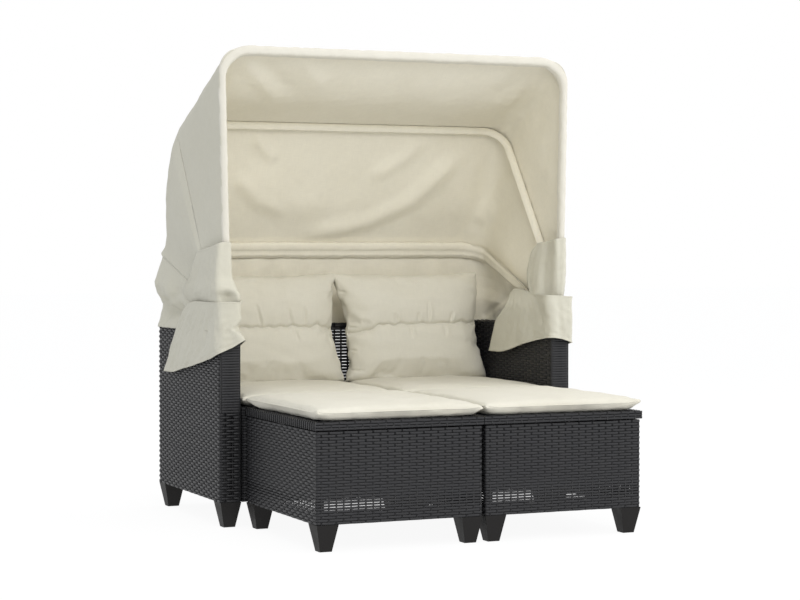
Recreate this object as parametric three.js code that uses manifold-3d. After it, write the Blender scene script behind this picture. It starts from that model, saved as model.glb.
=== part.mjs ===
// Two-seat garden daybed: a woven sofa with a folding cloth canopy and two woven footstools
// that stand against its seat. Millimetres, +Z up, the front towards -Y, and right is +X, as seen
// from the front. The origin is on the floor, at the centre of the whole set's box.

import * as THREE from 'three';
import { mergeVertices } from 'three/addons/utils/BufferGeometryUtils.js';
import Module from 'manifold-3d';

const wasm = await Module();
wasm.setup();

// Clearances and cuts
const fitGap = 0.3;
const runGap = 0.5;
const overrun = 10;

// Sofa
const sofaWidth = 1193;
const sofaDepth = 637;
const armWidth = 69;
const armTop = 595;
const backDrop = 3;
const backThick = 69;
const seatTop = 365;
const panelBottom = 77;

// Woven skin and the steel tube under it
const weaveThick = 3;
const frameTube = 20;

// Feet
const footTopWidth = 66;
const footBottomWidth = 36;

// Stools
const stoolGap = 2;
const stoolSideClear = 7.5;
const lidDepth = 600;
const lidThick = 24.5;
const lidOverhang = 3.5;
const lidSeam = 3;
const stoolToSofa = 5;
const restPadLength = 60;

// Canopy hoops, bent from round tube and hung on one bolt each side
const hoopTube = 19;
const hoopBore = 16;
const hoopTail = 14;
const hoopStraight = 24;
const pivotInset = 17;
const pivotRise = 35;
const earThick = 2;
const earWidth = 24;
const bracketBase = 3;
const bracketLength = 46;
const legOutset = 6;
const legSplay = 15;
const rearBarClear = 26.72;
const frontHoopLength = 816;
const frontHoopCorner = 88;
const frontHoopTilt = 0;
const middleHoopLength = 762;
const middleHoopCorner = 84;
const middleHoopTilt = 35.7;
const rearHoopCorner = 84;
const rearHoopTilt = 72;

// Bolts
const boltSize = 8;
const boltHoleSize = 8.8;
const boltHeadSize = 15;
const boltHeadThick = 4;
const nutThick = 6.5;

// Canopy cloth
const clothThick = 2;
const clothGap = 0.9;
const seamEase = 0.95;
const roofSag = 84;
const backSag = 40;
const skirtRise = 237;
const skirtFall = 184;
const curtainPuff = 14;
const curtainClear = 6;
const curtainFold = 7;
const curtainRearDrop = 92;
const clothFoot = 70;
const skirtFold = 9;

// Cushions
const padCrown = 44;
const padEdge = 17;
const padPull = 9;
const padGap = 3;
const backPadInset = 12;
const backPadHeight = 366;
const backPadThick = 132;
const backPadEdge = 16;
const backPadPull = 13;
const backPadLean = 34;
const channelDepth = 15;
const channelWidth = 16;
const channelShare = 0.52;

// Derived places
const armInner = sofaWidth / 2 - armWidth;
const armMid = armInner + armWidth / 2;
const backTop = armTop - backDrop;
const backFront = sofaDepth - backThick;
const backPadWidth = armInner - padGap / 2 - 2 * backPadInset;
const lidWidth = armInner - stoolSideClear - stoolGap / 2;
const stoolWidth = lidWidth - 2 * lidOverhang;
const stoolDepth = lidDepth - 2 * lidOverhang;
const lidBottom = seatTop - lidThick;
const stoolTop = lidBottom - lidSeam;
const pivotZ = armTop + pivotRise;
const hoopPitch = hoopTube + earThick + 2 * runGap;
const frontLegX = armMid + legOutset;
const middleLegX = frontLegX + hoopPitch;
const rearLegX = frontLegX - hoopPitch;
const topBarX = frontLegX + legSplay;
const wrapRadius = hoopTube / 2 + clothGap;
const seamRadius = hoopTube / 2 + 2 * fitGap;
const rearBarY = sofaDepth + rearBarClear;
const rearHoopLength = (rearBarY - pivotInset) / Math.sin(radians(rearHoopTilt));
const hoops = {
  front: { length: frontHoopLength, tilt: frontHoopTilt, corner: frontHoopCorner },
  middle: { length: middleHoopLength, tilt: middleHoopTilt, corner: middleHoopCorner },
  rear: { length: rearHoopLength, tilt: rearHoopTilt, corner: rearHoopCorner },
};
const frontReach = stoolToSofa + lidDepth;
const rearReach = rearBarY + seamRadius + clothThick;
const sofaFrontY = (frontReach - rearReach) / 2;

function radians(degrees) {
  return (degrees * Math.PI) / 180;
}

function finish(color, roughness, metalness) {
  return new THREE.MeshStandardMaterial({ color, roughness, metalness });
}

const rattan = finish(0x3a3a3d, 0.55, 0);
const blackSteel = finish(0x242426, 0.45, 0.6);
const zincSteel = finish(0xb4b6b8, 0.35, 0.9);
const footPlastic = finish(0x2a2727, 0.5, 0);
const canopyCloth = finish(0xcdc9bf, 0.9, 0);
const cushionCloth = finish(0xe2dccb, 0.9, 0);

// Solids

function solidOf(geometry) {
  const bare = geometry.clone();
  bare.deleteAttribute('normal');
  bare.deleteAttribute('uv');
  const merged = mergeVertices(bare, 1e-4);
  return new wasm.Manifold(new wasm.Mesh({
    numProp: 3,
    vertProperties: new Float32Array(merged.attributes.position.array),
    triVerts: new Uint32Array(merged.index.array),
  }));
}

function geometryOf(solid) {
  const mesh = solid.getMesh();
  const geometry = new THREE.BufferGeometry();
  geometry.setAttribute('position', new THREE.BufferAttribute(mesh.vertProperties, 3));
  geometry.setIndex(new THREE.BufferAttribute(mesh.triVerts, 1));
  geometry.computeVertexNormals();
  return geometry;
}

function cut(base, ...tools) {
  const rest = tools.reduce((solid, tool) => solid.subtract(solidOf(tool)), solidOf(base));
  return geometryOf(rest);
}

function join(...pieces) {
  return geometryOf(pieces.map(solidOf).reduce((all, piece) => all.add(piece)));
}

function block(x0, x1, y0, y1, z0, z1) {
  const box = new THREE.BoxGeometry(x1 - x0, y1 - y0, z1 - z0);
  return box.translate((x0 + x1) / 2, (y0 + y1) / 2, (z0 + z1) / 2);
}

function centredBlock(width, y0, y1, z0, z1) {
  return block(-width / 2, width / 2, y0, y1, z0, z1);
}

function mirrored(geometry) {
  const copy = geometry.index ? geometry.clone() : mergeVertices(geometry.clone());
  copy.scale(-1, 1, 1);
  const order = copy.index.array;
  for (let i = 0; i < order.length; i += 3) {
    [order[i], order[i + 1]] = [order[i + 1], order[i]];
  }
  copy.computeVertexNormals();
  return copy;
}

function node(name, geometry, material) {
  const mesh = new THREE.Mesh(geometry, material);
  mesh.name = name;
  return mesh;
}

function prismAlongX(size, sides, x0, x1, y, z) {
  const prism = new THREE.CylinderGeometry(size / 2, size / 2, x1 - x0, sides);
  return prism.rotateZ(Math.PI / 2).translate((x0 + x1) / 2, y, z);
}

function prismAlongZ(size, sides, x, y, z0, z1) {
  const prism = new THREE.CylinderGeometry(size / 2, size / 2, z1 - z0, sides);
  return prism.rotateX(Math.PI / 2).translate(x, y, (z0 + z1) / 2);
}

// A welded frame along the twelve edges of a box: the box less one window along each axis.
function edgeFrame(x0, x1, y0, y1, z0, z1) {
  const t = frameTube;
  return cut(
    block(x0, x1, y0, y1, z0, z1),
    block(x0 - overrun, x1 + overrun, y0 + t, y1 - t, z0 + t, z1 - t),
    block(x0 + t, x1 - t, y0 - overrun, y1 + overrun, z0 + t, z1 - t),
    block(x0 + t, x1 - t, y0 + t, y1 - t, z0 - overrun, z1 + overrun),
  );
}

// A closed body between two grids of points with the same rows and columns.
function bodyBetween(outer, inner) {
  const rows = outer.length;
  const columns = outer[0].length;
  const points = [...outer.flat(), ...inner.flat()];
  const order = [];
  const quad = (a, b, c, d) => order.push(a, b, c, a, c, d);
  const top = (r, c) => r * columns + c;
  const under = (r, c) => rows * columns + top(r, c);
  for (let r = 0; r < rows - 1; r += 1) {
    for (let c = 0; c < columns - 1; c += 1) {
      quad(top(r, c), top(r, c + 1), top(r + 1, c + 1), top(r + 1, c));
      quad(under(r, c), under(r + 1, c), under(r + 1, c + 1), under(r, c + 1));
    }
    quad(top(r, 0), top(r + 1, 0), under(r + 1, 0), under(r, 0));
    quad(top(r + 1, columns - 1), top(r, columns - 1), under(r, columns - 1), under(r + 1, columns - 1));
  }
  for (let c = 0; c < columns - 1; c += 1) {
    quad(top(0, c + 1), top(0, c), under(0, c), under(0, c + 1));
    quad(top(rows - 1, c), top(rows - 1, c + 1), under(rows - 1, c + 1), under(rows - 1, c));
  }
  const geometry = new THREE.BufferGeometry();
  const flat = new Float32Array(points.flatMap((p) => [p.x, p.y, p.z]));
  geometry.setAttribute('position', new THREE.BufferAttribute(flat, 3));
  geometry.setIndex(order);
  geometry.computeVertexNormals();
  return geometry;
}

// A sheet of even thickness, built outwards from the grid of its inner face.
function sheet(inner, thickness) {
  const at = (r, c) => inner[Math.min(Math.max(r, 0), inner.length - 1)][
    Math.min(Math.max(c, 0), inner[0].length - 1)];
  const outer = inner.map((row, r) => row.map((point, c) => {
    const down = at(r + 1, c).clone().sub(at(r - 1, c));
    const across = at(r, c + 1).clone().sub(at(r, c - 1));
    return point.clone().addScaledVector(across.cross(down).normalize(), thickness);
  }));
  return bodyBetween(outer, inner);
}

// Sofa panels

function armFrame() {
  const skin = weaveThick + fitGap;
  const x0 = armInner + skin;
  const x1 = armInner + armWidth - skin;
  const seatRail = block(
    x0, x0 + frameTube, skin, sofaDepth - skin,
    seatTop - weaveThick - fitGap - frameTube, seatTop - weaveThick - fitGap,
  );
  const frame = join(edgeFrame(x0, x1, skin, sofaDepth - skin, panelBottom, armTop - skin), seatRail);
  return cut(frame, ...seatBoltPlaces().map(([y, z]) => (
    prismAlongX(boltHoleSize, 8, x0 - overrun, x0 + frameTube + overrun, y, z))));
}

function armWeave() {
  const t = weaveThick;
  return cut(
    block(armInner, armInner + armWidth, 0, sofaDepth, panelBottom, armTop),
    block(armInner + t, armInner + armWidth - t, t, sofaDepth - t, panelBottom - overrun, armTop - t),
    ...seatBoltPlaces().map(([y, z]) => (
      prismAlongX(boltHoleSize, 8, armInner - overrun, armInner + t + overrun, y, z))),
  );
}

function backFrame() {
  const skin = weaveThick + fitGap;
  const half = armInner - fitGap - skin;
  return edgeFrame(-half, half, backFront + skin, sofaDepth - skin, panelBottom, backTop - skin);
}

function backWeave() {
  const t = weaveThick;
  const width = 2 * (armInner - fitGap);
  return cut(
    centredBlock(width, backFront, sofaDepth, panelBottom, backTop),
    centredBlock(width - 2 * t, backFront + t, sofaDepth - t, panelBottom - overrun, backTop - t),
  );
}

// The seat's bolts run out of its side rails into the rails inside the arms.
function seatBoltPlaces() {
  const z = seatTop - weaveThick - fitGap - frameTube / 2;
  const boltShares = [0.2, 0.8];
  return boltShares.map((share) => [backFront * share, z]);
}

function seatFrame() {
  const half = armInner - fitGap;
  const y0 = weaveThick + fitGap;
  const y1 = backFront - fitGap;
  const top = seatTop - weaveThick - fitGap;
  const middleBar = centredBlock(frameTube, y0, y1, top - frameTube, top);
  const frame = join(edgeFrame(-half, half, y0, y1, panelBottom, top), middleBar);
  return cut(frame, ...seatBoltPlaces().map(([y, z]) => (
    prismAlongX(boltHoleSize, 8, -half - overrun, half + overrun, y, z))));
}

// The woven seat runs over the front rail and down to the bottom of the sofa as an apron.
function seatWeave() {
  const width = 2 * (armInner - fitGap);
  return cut(
    centredBlock(width, 0, backFront - fitGap, panelBottom, seatTop),
    centredBlock(width + overrun, weaveThick, backFront + overrun,
      panelBottom - overrun, seatTop - weaveThick),
  );
}

function seatBolt(y, z) {
  const rail = armInner - fitGap - frameTube;
  const end = armInner + weaveThick + fitGap + frameTube;
  return join(
    prismAlongX(boltHeadSize, 6, rail - fitGap - boltHeadThick, rail - fitGap, y, z),
    prismAlongX(boltSize, 8, rail - fitGap - boltHeadThick / 2, end, y, z),
  );
}

function foot(x, y) {
  const height = panelBottom - fitGap;
  const diagonal = Math.SQRT1_2;
  const shape = new THREE.CylinderGeometry(
    footTopWidth * diagonal, footBottomWidth * diagonal, height, 4, 1, false, Math.PI / 4,
  );
  return shape.rotateX(Math.PI / 2).translate(x, y, height / 2);
}

// Canopy hoops

// A path that is sampled at its own corner points, so straight runs cost one step each.
class CornerPath extends THREE.Curve {
  constructor(points) {
    super();
    this.points = points;
  }

  getPoint(share) {
    const place = share * (this.points.length - 1);
    const first = Math.min(Math.floor(place), this.points.length - 2);
    return this.points[first].clone().lerp(this.points[first + 1], place - first);
  }

  getPointAt(share) {
    return this.getPoint(share);
  }

  getTangentAt(share) {
    const last = this.points.length - 1;
    const place = Math.round(share * last);
    const before = this.points[Math.max(place - 1, 0)];
    const after = this.points[Math.min(place + 1, last)];
    return after.clone().sub(before).normalize();
  }
}

function pipe(points) {
  const wall = new THREE.Shape().absarc(0, 0, hoopTube / 2, 0, 2 * Math.PI, false);
  wall.holes.push(new THREE.Path().absarc(0, 0, hoopBore / 2, 0, 2 * Math.PI, true));
  return new THREE.ExtrudeGeometry(wall, {
    steps: points.length - 1,
    curveSegments: 8,
    bevelEnabled: false,
    extrudePath: new CornerPath(points),
  });
}

// How far out a leg's middle line is, at a distance from the pivot.
function legPlace(hoop, legX, r) {
  const slope = Math.max(r - hoopStraight, 0) / (hoop.length - hoop.corner - hoopStraight);
  return legX + (topBarX - legX) * slope;
}

// One hoop's middle line in its own plane: x across, r along the leg from the pivot. It runs from
// the foot of the right leg over the bar to the foot of the left leg, and every point also has its
// outward direction in that plane. The legs are straight past the pivot, then lean to the bar.
function hoopOutline(hoop, legX, legRadii, cornerSteps, barSteps) {
  const half = [];
  const legTop = hoop.length - hoop.corner;
  for (const r of [...legRadii, legTop]) {
    half.push({ x: legPlace(hoop, legX, r), r, outX: 1, outR: 0 });
  }
  for (let step = 1; step <= cornerSteps; step += 1) {
    const angle = (Math.PI / 2) * (step / cornerSteps);
    half.push({
      x: topBarX - hoop.corner + hoop.corner * Math.cos(angle),
      r: legTop + hoop.corner * Math.sin(angle),
      outX: Math.cos(angle),
      outR: Math.sin(angle),
    });
  }
  const barHalf = topBarX - hoop.corner;
  for (let step = 1; step < barSteps; step += 1) {
    const x = barHalf * (1 - (2 * step) / barSteps);
    if (x > 0) half.push({ x, r: hoop.length, outX: 0, outR: 1 });
  }
  const left = half.map((p) => ({ ...p, x: -p.x, outX: -p.outX })).reverse();
  const centre = barSteps % 2 === 0 ? [{ x: 0, r: hoop.length, outX: 0, outR: 1 }] : [];
  return [...half, ...centre, ...left];
}

// Places a point of a hoop's plane in the sofa's frame.
function onHoop(hoop, x, r) {
  const tilt = radians(hoop.tilt);
  return new THREE.Vector3(x, pivotInset + r * Math.sin(tilt), pivotZ + r * Math.cos(tilt));
}

function hoopGeometry(hoop, legX) {
  const outline = hoopOutline(hoop, legX, [-hoopTail, hoopStraight], 5, 1);
  const tube = pipe(outline.map((p) => onHoop(hoop, p.x, p.r)));
  const reach = legX + hoopTube;
  return cut(tube, prismAlongX(boltHoleSize, 8, -reach, reach, pivotInset, pivotZ));
}

// Two upright ears on a plate: the front hoop's leg turns between them.
function pivotBracket() {
  const earMid = hoopPitch / 2;
  const base = armTop + fitGap;
  const ears = [-earMid, earMid].map((shift) => {
    const x = frontLegX + shift;
    return join(
      block(x - earThick / 2, x + earThick / 2, pivotInset - earWidth / 2,
        pivotInset + earWidth / 2, base, pivotZ),
      prismAlongX(earWidth, 12, x - earThick / 2, x + earThick / 2, pivotInset, pivotZ),
    );
  });
  const plate = block(
    frontLegX - hoopPitch, frontLegX + hoopPitch,
    pivotInset - earWidth / 2, pivotInset - earWidth / 2 + bracketLength,
    base, base + bracketBase,
  );
  return cut(join(plate, ...ears), prismAlongX(
    boltHoleSize, 8, frontLegX - 2 * hoopPitch, frontLegX + 2 * hoopPitch, pivotInset, pivotZ));
}

function pivotBolt() {
  const outer = middleLegX + hoopTube / 2 + runGap;
  const inner = rearLegX - hoopTube / 2 - 2 * runGap - nutThick;
  return join(
    prismAlongX(boltHeadSize, 6, outer, outer + boltHeadThick, pivotInset, pivotZ),
    prismAlongX(boltSize, 8, inner, outer + boltHeadThick / 2, pivotInset, pivotZ),
  );
}

function pivotNut() {
  const outer = rearLegX - hoopTube / 2 - runGap;
  return cut(
    prismAlongX(boltHeadSize, 6, outer - nutThick, outer, pivotInset, pivotZ),
    prismAlongX(boltHoleSize, 8, outer - 2 * nutThick, outer + overrun, pivotInset, pivotZ),
  );
}

// Canopy cloth

const clothLegShares = [0, 0.12, 0.35, 0.68];
const clothCornerSteps = 5;

function clothOutline(hoop, legX) {
  const reach = hoop.length - hoop.corner - clothFoot;
  const radii = clothLegShares.map((share) => clothFoot + reach * share);
  return hoopOutline(hoop, legX, radii, clothCornerSteps, 6);
}

// The tube's middle, its outward direction and the direction square to the hoop's plane.
function hoopStation(hoop, p) {
  const centre = onHoop(hoop, p.x, p.r);
  const tilt = radians(hoop.tilt);
  const out = new THREE.Vector3(p.outX, p.outR * Math.sin(tilt), p.outR * Math.cos(tilt));
  const forward = new THREE.Vector3(0, -Math.cos(tilt), Math.sin(tilt));
  return { centre, out, forward };
}

// The direction from a tube's middle to where cloth that runs along chord touches it.
function touching(out, chord) {
  return out.clone().addScaledVector(chord, -out.dot(chord)).normalize();
}

// A stretch of cloth from one hoop's tube to the next one's. It starts round the front of the
// first tube where wrap is set, and sinks between the hoops.
function spanningCloth(first, second, sag, wrapSteps, spanShares) {
  const rows = clothOutline(first.hoop, first.legX).map((p, index) => {
    const from = hoopStation(first.hoop, p);
    const q = clothOutline(second.hoop, second.legX)[index];
    const to = hoopStation(second.hoop, q);
    const chord = to.centre.clone().sub(from.centre).normalize();
    const leave = touching(from.out, chord);
    const land = touching(to.out, chord);
    const row = [];
    for (let step = 0; step < wrapSteps; step += 1) {
      const share = step / wrapSteps;
      const turn = from.forward.clone().lerp(leave, share).normalize();
      row.push(from.centre.clone().addScaledVector(turn, wrapRadius));
    }
    const start = from.centre.clone().addScaledVector(leave, wrapRadius);
    const end = to.centre.clone().addScaledVector(land, wrapRadius);
    const outwards = leave.clone().add(land).normalize();
    const gather = start.distanceTo(end) / (first.hoop.length + second.hoop.length);
    for (const share of spanShares) {
      const point = start.clone().lerp(end, share);
      const sink = sag * gather * Math.sin(Math.PI * share) ** 2 * sagShare(p);
      row.push(point.addScaledVector(outwards, -sink));
    }
    return row;
  });
  return sheet(rows, clothThick);
}

// Cloth sinks most over the bar and hardly beside the legs' feet.
function sagShare(p) {
  const sideSagShare = 0.45;
  return p.outR + (1 - p.outR) * sideSagShare;
}

function canopyRoof() {
  const front = { hoop: hoops.front, legX: frontLegX };
  const middle = { hoop: hoops.middle, legX: middleLegX };
  return spanningCloth(front, middle, roofSag, 4, [0, 0.2, 0.4, 0.6, 0.8, 0.985]);
}

function canopyBack() {
  const middle = { hoop: hoops.middle, legX: middleLegX };
  const rear = { hoop: hoops.rear, legX: rearLegX };
  return spanningCloth(middle, rear, backSag, 0, [0.015, 0.2, 0.4, 0.6, 0.8, 0.985]);
}

// The curtain hangs from the rear hoop in shallow folds. Beside the arms it ends at their tops,
// and it drops further behind the backrest.
function canopyCurtain() {
  const dropShares = [0, 0.25, 0.5, 0.75, 1];
  const hoop = hoops.rear;
  const sideX = sofaWidth / 2 + curtainClear;
  const rearY = sofaDepth + curtainClear;
  const firstLegStation = clothLegShares.length - 1;
  const rows = clothOutline(hoop, rearLegX).slice(firstLegStation, -firstLegStation).map((p, index) => {
    const { centre } = hoopStation(hoop, p);
    const side = Math.abs(p.outX);
    const top = new THREE.Vector3(
      centre.x + p.outX * seamRadius, centre.y + p.outR * seamRadius, centre.z);
    const hem = new THREE.Vector3(
      side > p.outR ? Math.sign(p.x) * sideX : top.x,
      side < 0.9 ? Math.max(top.y, rearY) : top.y,
      armTop + fitGap - curtainRearDrop * (1 - side) ** 0.5,
    );
    if (index % 2 === 1 && side > p.outR) hem.x += Math.sign(p.x) * curtainFold;
    if (index % 2 === 1 && side <= p.outR) hem.y = Math.max(hem.y - curtainFold, rearY);
    return dropShares.map((share) => {
      const puff = curtainPuff * Math.sin(Math.PI * share) * side;
      const point = top.clone().lerp(hem, share);
      point.x += Math.sign(p.outX) * puff;
      return point;
    });
  });
  return sheet(rows, clothThick);
}

// The skirt's rows from its seam down to its hem, for the arm on the right. Sides are shares of
// the arm's width from its inner face, reaches are shares of the sofa's depth, and heights are
// shares of skirtRise above the pivot or of skirtFall below it.
const skirtRowShares = [
  { outer: 1.2, inner: 0.38, outerReach: 0.39, innerReach: 0.17, front: -0.004, ends: [1, 1, 1] },
  { outer: 1.2, inner: 0.32, outerReach: 0.44, innerReach: 0.24, front: -0.006, ends: [0.66, 0.64, 0.66] },
  { outer: 1.24, inner: 0.14, outerReach: 0.47, innerReach: 0.3, front: -0.03, ends: [0.28, 0.3, 0.28] },
  { outer: 1.21, inner: -0.05, outerReach: 0.51, innerReach: 0.36, front: -0.012, ends: [0.18, 0.23, 0.2] },
  { outer: 1.2, inner: -0.09, outerReach: 0.64, innerReach: 0.58, front: -0.012, ends: [-0.1, -0.07, -0.1] },
  { outer: 1.2, inner: -0.12, outerReach: 0.76, innerReach: 0.64, front: -0.018, ends: [-0.58, -0.28, -0.4] },
  { outer: 1.22, inner: -0.16, outerReach: 0.885, innerReach: 0.716, front: -0.028, ends: [-1, -0.5, -0.75] },
];
const skirtSquareness = 0.4;
const skirtSideSteps = 6;
const skirtFrontSteps = 5;

function skirtHeight(share) {
  return pivotZ + share * (share > 0 ? skirtRise : skirtFall);
}

// One row of the skirt. Folds that run down it stand away from the arm at every second point of
// both sides, and deepen towards the hem.
function skirtRow(row, index) {
  const outerX = armInner + armWidth * row.outer;
  const innerX = armInner + armWidth * row.inner;
  const radius = (outerX - innerX) / 2;
  const midX = (outerX + innerX) / 2;
  const frontY = sofaDepth * row.front;
  const [outerEnd, front, innerEnd] = row.ends.map(skirtHeight);
  const fold = (skirtFold * index) / (skirtRowShares.length - 1);
  const side = (x, reach, end, step) => {
    const share = step / skirtSideSteps;
    const y = frontY + radius + (sofaDepth * reach - frontY - radius) * share;
    const away = step % 2 === 1 ? fold * Math.sign(x - midX) : 0;
    return new THREE.Vector3(x + away, y, front + (end - front) * share);
  };
  const points = [];
  for (let step = skirtSideSteps; step > 0; step -= 1) {
    points.push(side(outerX, row.outerReach, outerEnd, step));
  }
  for (let step = 0; step <= skirtFrontSteps; step += 1) {
    const angle = (Math.PI * step) / skirtFrontSteps;
    const across = Math.sign(Math.cos(angle)) * Math.abs(Math.cos(angle)) ** skirtSquareness;
    const along = Math.abs(Math.sin(angle)) ** skirtSquareness;
    points.push(new THREE.Vector3(midX + radius * across, frontY + radius * (1 - along), front));
  }
  for (let step = 1; step <= skirtSideSteps; step += 1) {
    points.push(side(innerX, row.innerReach, innerEnd, step));
  }
  return points;
}

// The skirt's seam lies on the canopy's cloth: past the front leg, then out to the middle leg.
function hugSeam(points) {
  const skin = wrapRadius + clothThick + seamEase;
  const middleR = skirtRise / Math.cos(radians(hoops.middle.tilt));
  const middleY = pivotInset - hoopTube + middleR * Math.sin(radians(hoops.middle.tilt));
  const frontX = legPlace(hoops.front, frontLegX, skirtRise) + skin;
  const middleX = legPlace(hoops.middle, middleLegX, middleR) + skin;
  const frontY = pivotInset - skin;
  const cornerY = pivotInset;
  return points.map((point) => {
    const along = Math.min(Math.max((point.y - cornerY) / (middleY - cornerY), 0), 1);
    const x = Math.min(point.x, frontX + (middleX - frontX) * along);
    return new THREE.Vector3(x, Math.max(point.y, frontY), point.z);
  });
}

function canopySkirt() {
  const rows = skirtRowShares.map(skirtRow);
  rows[0] = hugSeam(rows[0]);
  return sheet(rows, clothThick);
}

// Cushions

// Share of full height over a pad: nought at its edge, one over its middle.
function crown(share, softness) {
  return 1 - Math.abs(2 * share - 1) ** softness;
}

// The height of a seat pad's top over its underside, at shares of its width and depth.
function padHeight(across, along) {
  const rise = Math.sqrt(crown(across, 6) * crown(along, 6));
  return padEdge + (padCrown - padEdge) * rise;
}

// Grid shares that crowd towards both ends, where a cushion curves most.
function easedShares(steps) {
  return Array.from({ length: steps + 1 }, (_, i) => (1 - Math.cos((Math.PI * i) / steps)) / 2);
}

// A flat seat pad whose sides pull in between its corners.
function seatPad(width, depth, steps) {
  const shares = easedShares(steps);
  const grid = (height) => shares.map((v) => shares.map((u) => {
    const side = 2 * u - 1;
    const end = 2 * v - 1;
    const x = side * (width / 2 - padPull * (1 - end ** 2) * side ** 2);
    const y = end * (depth / 2 - padPull * (1 - side ** 2) * end ** 2);
    return new THREE.Vector3(x, y, height(u, v));
  }));
  return bodyBetween(grid(padHeight), grid(() => 0));
}

// A back cushion: an upright pillow with one sewn channel across its front. It stands on its
// straight lower edge and leans back.
function backPad(steps) {
  const shares = easedShares(steps);
  const grid = (facing) => shares.map((v) => shares.map((u) => {
    const side = 2 * u - 1;
    const end = 2 * v - 1;
    const x = side * (backPadWidth / 2 - backPadPull * (1 - end ** 2) * side ** 2);
    const z = backPadHeight * v - backPadPull * (1 - side ** 2) * v ** 4;
    const rise = Math.sqrt(crown(u, 3.4) * crown(v, 3));
    const fromChannel = (z - backPadHeight * channelShare) / channelWidth;
    const dip = facing < 0 ? channelDepth * Math.exp(-(fromChannel ** 2)) * rise : 0;
    const half = backPadEdge / 2 + ((backPadThick - backPadEdge) / 2) * rise;
    return new THREE.Vector3(x, backPadLean * (v - 0.5) + facing * half + dip, z);
  }));
  return bodyBetween(grid(-1), grid(1));
}

// Stools

// Where the lid rests on the stool's frame: at the middle of each side rail, bolted on the
// left and right ones.
function restPlaces() {
  const rail = stoolWidth / 2 - weaveThick - fitGap - frameTube / 2;
  return [-rail, rail];
}

function stoolFrame() {
  const skin = weaveThick + fitGap;
  const x1 = stoolWidth / 2 - skin;
  const y1 = stoolDepth / 2 - skin;
  const frame = edgeFrame(-x1, x1, -y1, y1, panelBottom, stoolTop);
  const pads = restPlaces().map((x) => block(
    x - frameTube / 2, x + frameTube / 2, -restPadLength / 2, restPadLength / 2,
    stoolTop - frameTube, lidBottom - fitGap));
  return cut(join(frame, ...pads), ...restPlaces().map((x) => (
    prismAlongZ(boltHoleSize, 8, x, 0, stoolTop - 2 * frameTube, lidBottom + overrun))));
}

function stoolWeave() {
  const t = weaveThick;
  return cut(
    centredBlock(stoolWidth, -stoolDepth / 2, stoolDepth / 2, panelBottom, stoolTop),
    centredBlock(stoolWidth - 2 * t, -stoolDepth / 2 + t, stoolDepth / 2 - t,
      panelBottom - overrun, stoolTop + overrun),
  );
}

function lidFrame() {
  const skin = weaveThick + fitGap;
  const x1 = lidWidth / 2 - skin;
  const y1 = lidDepth / 2 - skin;
  const reach = frameTube + lidOverhang;
  const ring = cut(
    block(-x1, x1, -y1, y1, lidBottom, seatTop - skin),
    block(-x1 + reach, x1 - reach, -y1 + reach, y1 - reach, lidBottom - overrun, seatTop),
  );
  return cut(ring, ...restPlaces().map((x) => (
    prismAlongZ(boltHoleSize, 8, x, 0, lidBottom - overrun, lidBottom + frameTube / 2))));
}

function lidWeave() {
  const t = weaveThick;
  return cut(
    centredBlock(lidWidth, -lidDepth / 2, lidDepth / 2, lidBottom, seatTop),
    centredBlock(lidWidth - 2 * t, -lidDepth / 2 + t, lidDepth / 2 - t,
      lidBottom - overrun, seatTop - t),
  );
}

function lidBolt(x) {
  const railUnder = stoolTop - frameTube - fitGap;
  return join(
    prismAlongZ(boltHeadSize, 6, x, 0, railUnder - boltHeadThick, railUnder),
    prismAlongZ(boltSize, 8, x, 0, railUnder - boltHeadThick / 2, lidBottom + frameTube / 2 - fitGap),
  );
}

// Assembly

function addSofa(root) {
  const sofa = new THREE.Group();
  sofa.position.y = sofaFrontY;
  const sides = { right: (g) => g, left: mirrored };
  for (const [side, place] of Object.entries(sides)) {
    sofa.add(node(`arm_frame_${side}`, place(armFrame()), blackSteel));
    sofa.add(node(`arm_weave_${side}`, place(armWeave()), rattan));
    sofa.add(node(`pivot_bracket_${side}`, place(pivotBracket()), blackSteel));
    sofa.add(node(`pivot_bolt_${side}`, place(pivotBolt()), zincSteel));
    sofa.add(node(`pivot_nut_${side}`, place(pivotNut()), zincSteel));
    sofa.add(node(`canopy_skirt_${side}`, place(canopySkirt()), canopyCloth));
    seatBoltPlaces().forEach(([y, z], index) => {
      const end = index === 0 ? 'front' : 'rear';
      sofa.add(node(`seat_bolt_${end}_${side}`, place(seatBolt(y, z)), zincSteel));
    });
    const footInset = armWidth / 2;
    sofa.add(node(`sofa_foot_front_${side}`, place(foot(armMid, footInset)), footPlastic));
    sofa.add(node(`sofa_foot_rear_${side}`, place(foot(armMid, sofaDepth - footInset)), footPlastic));
  }
  sofa.add(node('back_frame', backFrame(), blackSteel));
  sofa.add(node('back_weave', backWeave(), rattan));
  sofa.add(node('seat_frame', seatFrame(), blackSteel));
  sofa.add(node('seat_weave', seatWeave(), rattan));
  addSofaCushions(sofa);
  root.add(sofa);
  return sofa;
}

function addSofaCushions(sofa) {
  const width = armInner - padGap - padGap / 2;
  const depth = backFront - 2 * padGap;
  for (const [side, sign] of [['right', 1], ['left', -1]]) {
    const x = sign * (padGap / 2 + width / 2);
    const seat = node(`seat_cushion_${side}`, seatPad(width, depth, 10), cushionCloth);
    seat.position.set(x, padGap + depth / 2, seatTop + fitGap);
    const back = node(`back_cushion_${side}`, backPad(14), cushionCloth);
    back.geometry.computeBoundingBox();
    const y = backFront - fitGap - back.geometry.boundingBox.max.y;
    const along = (y - backPadLean / 2 - padGap) / depth;
    back.position.set(x, y, seatTop + padHeight(0.5, along) + 2 * fitGap);
    sofa.add(seat, back);
  }
}

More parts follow.
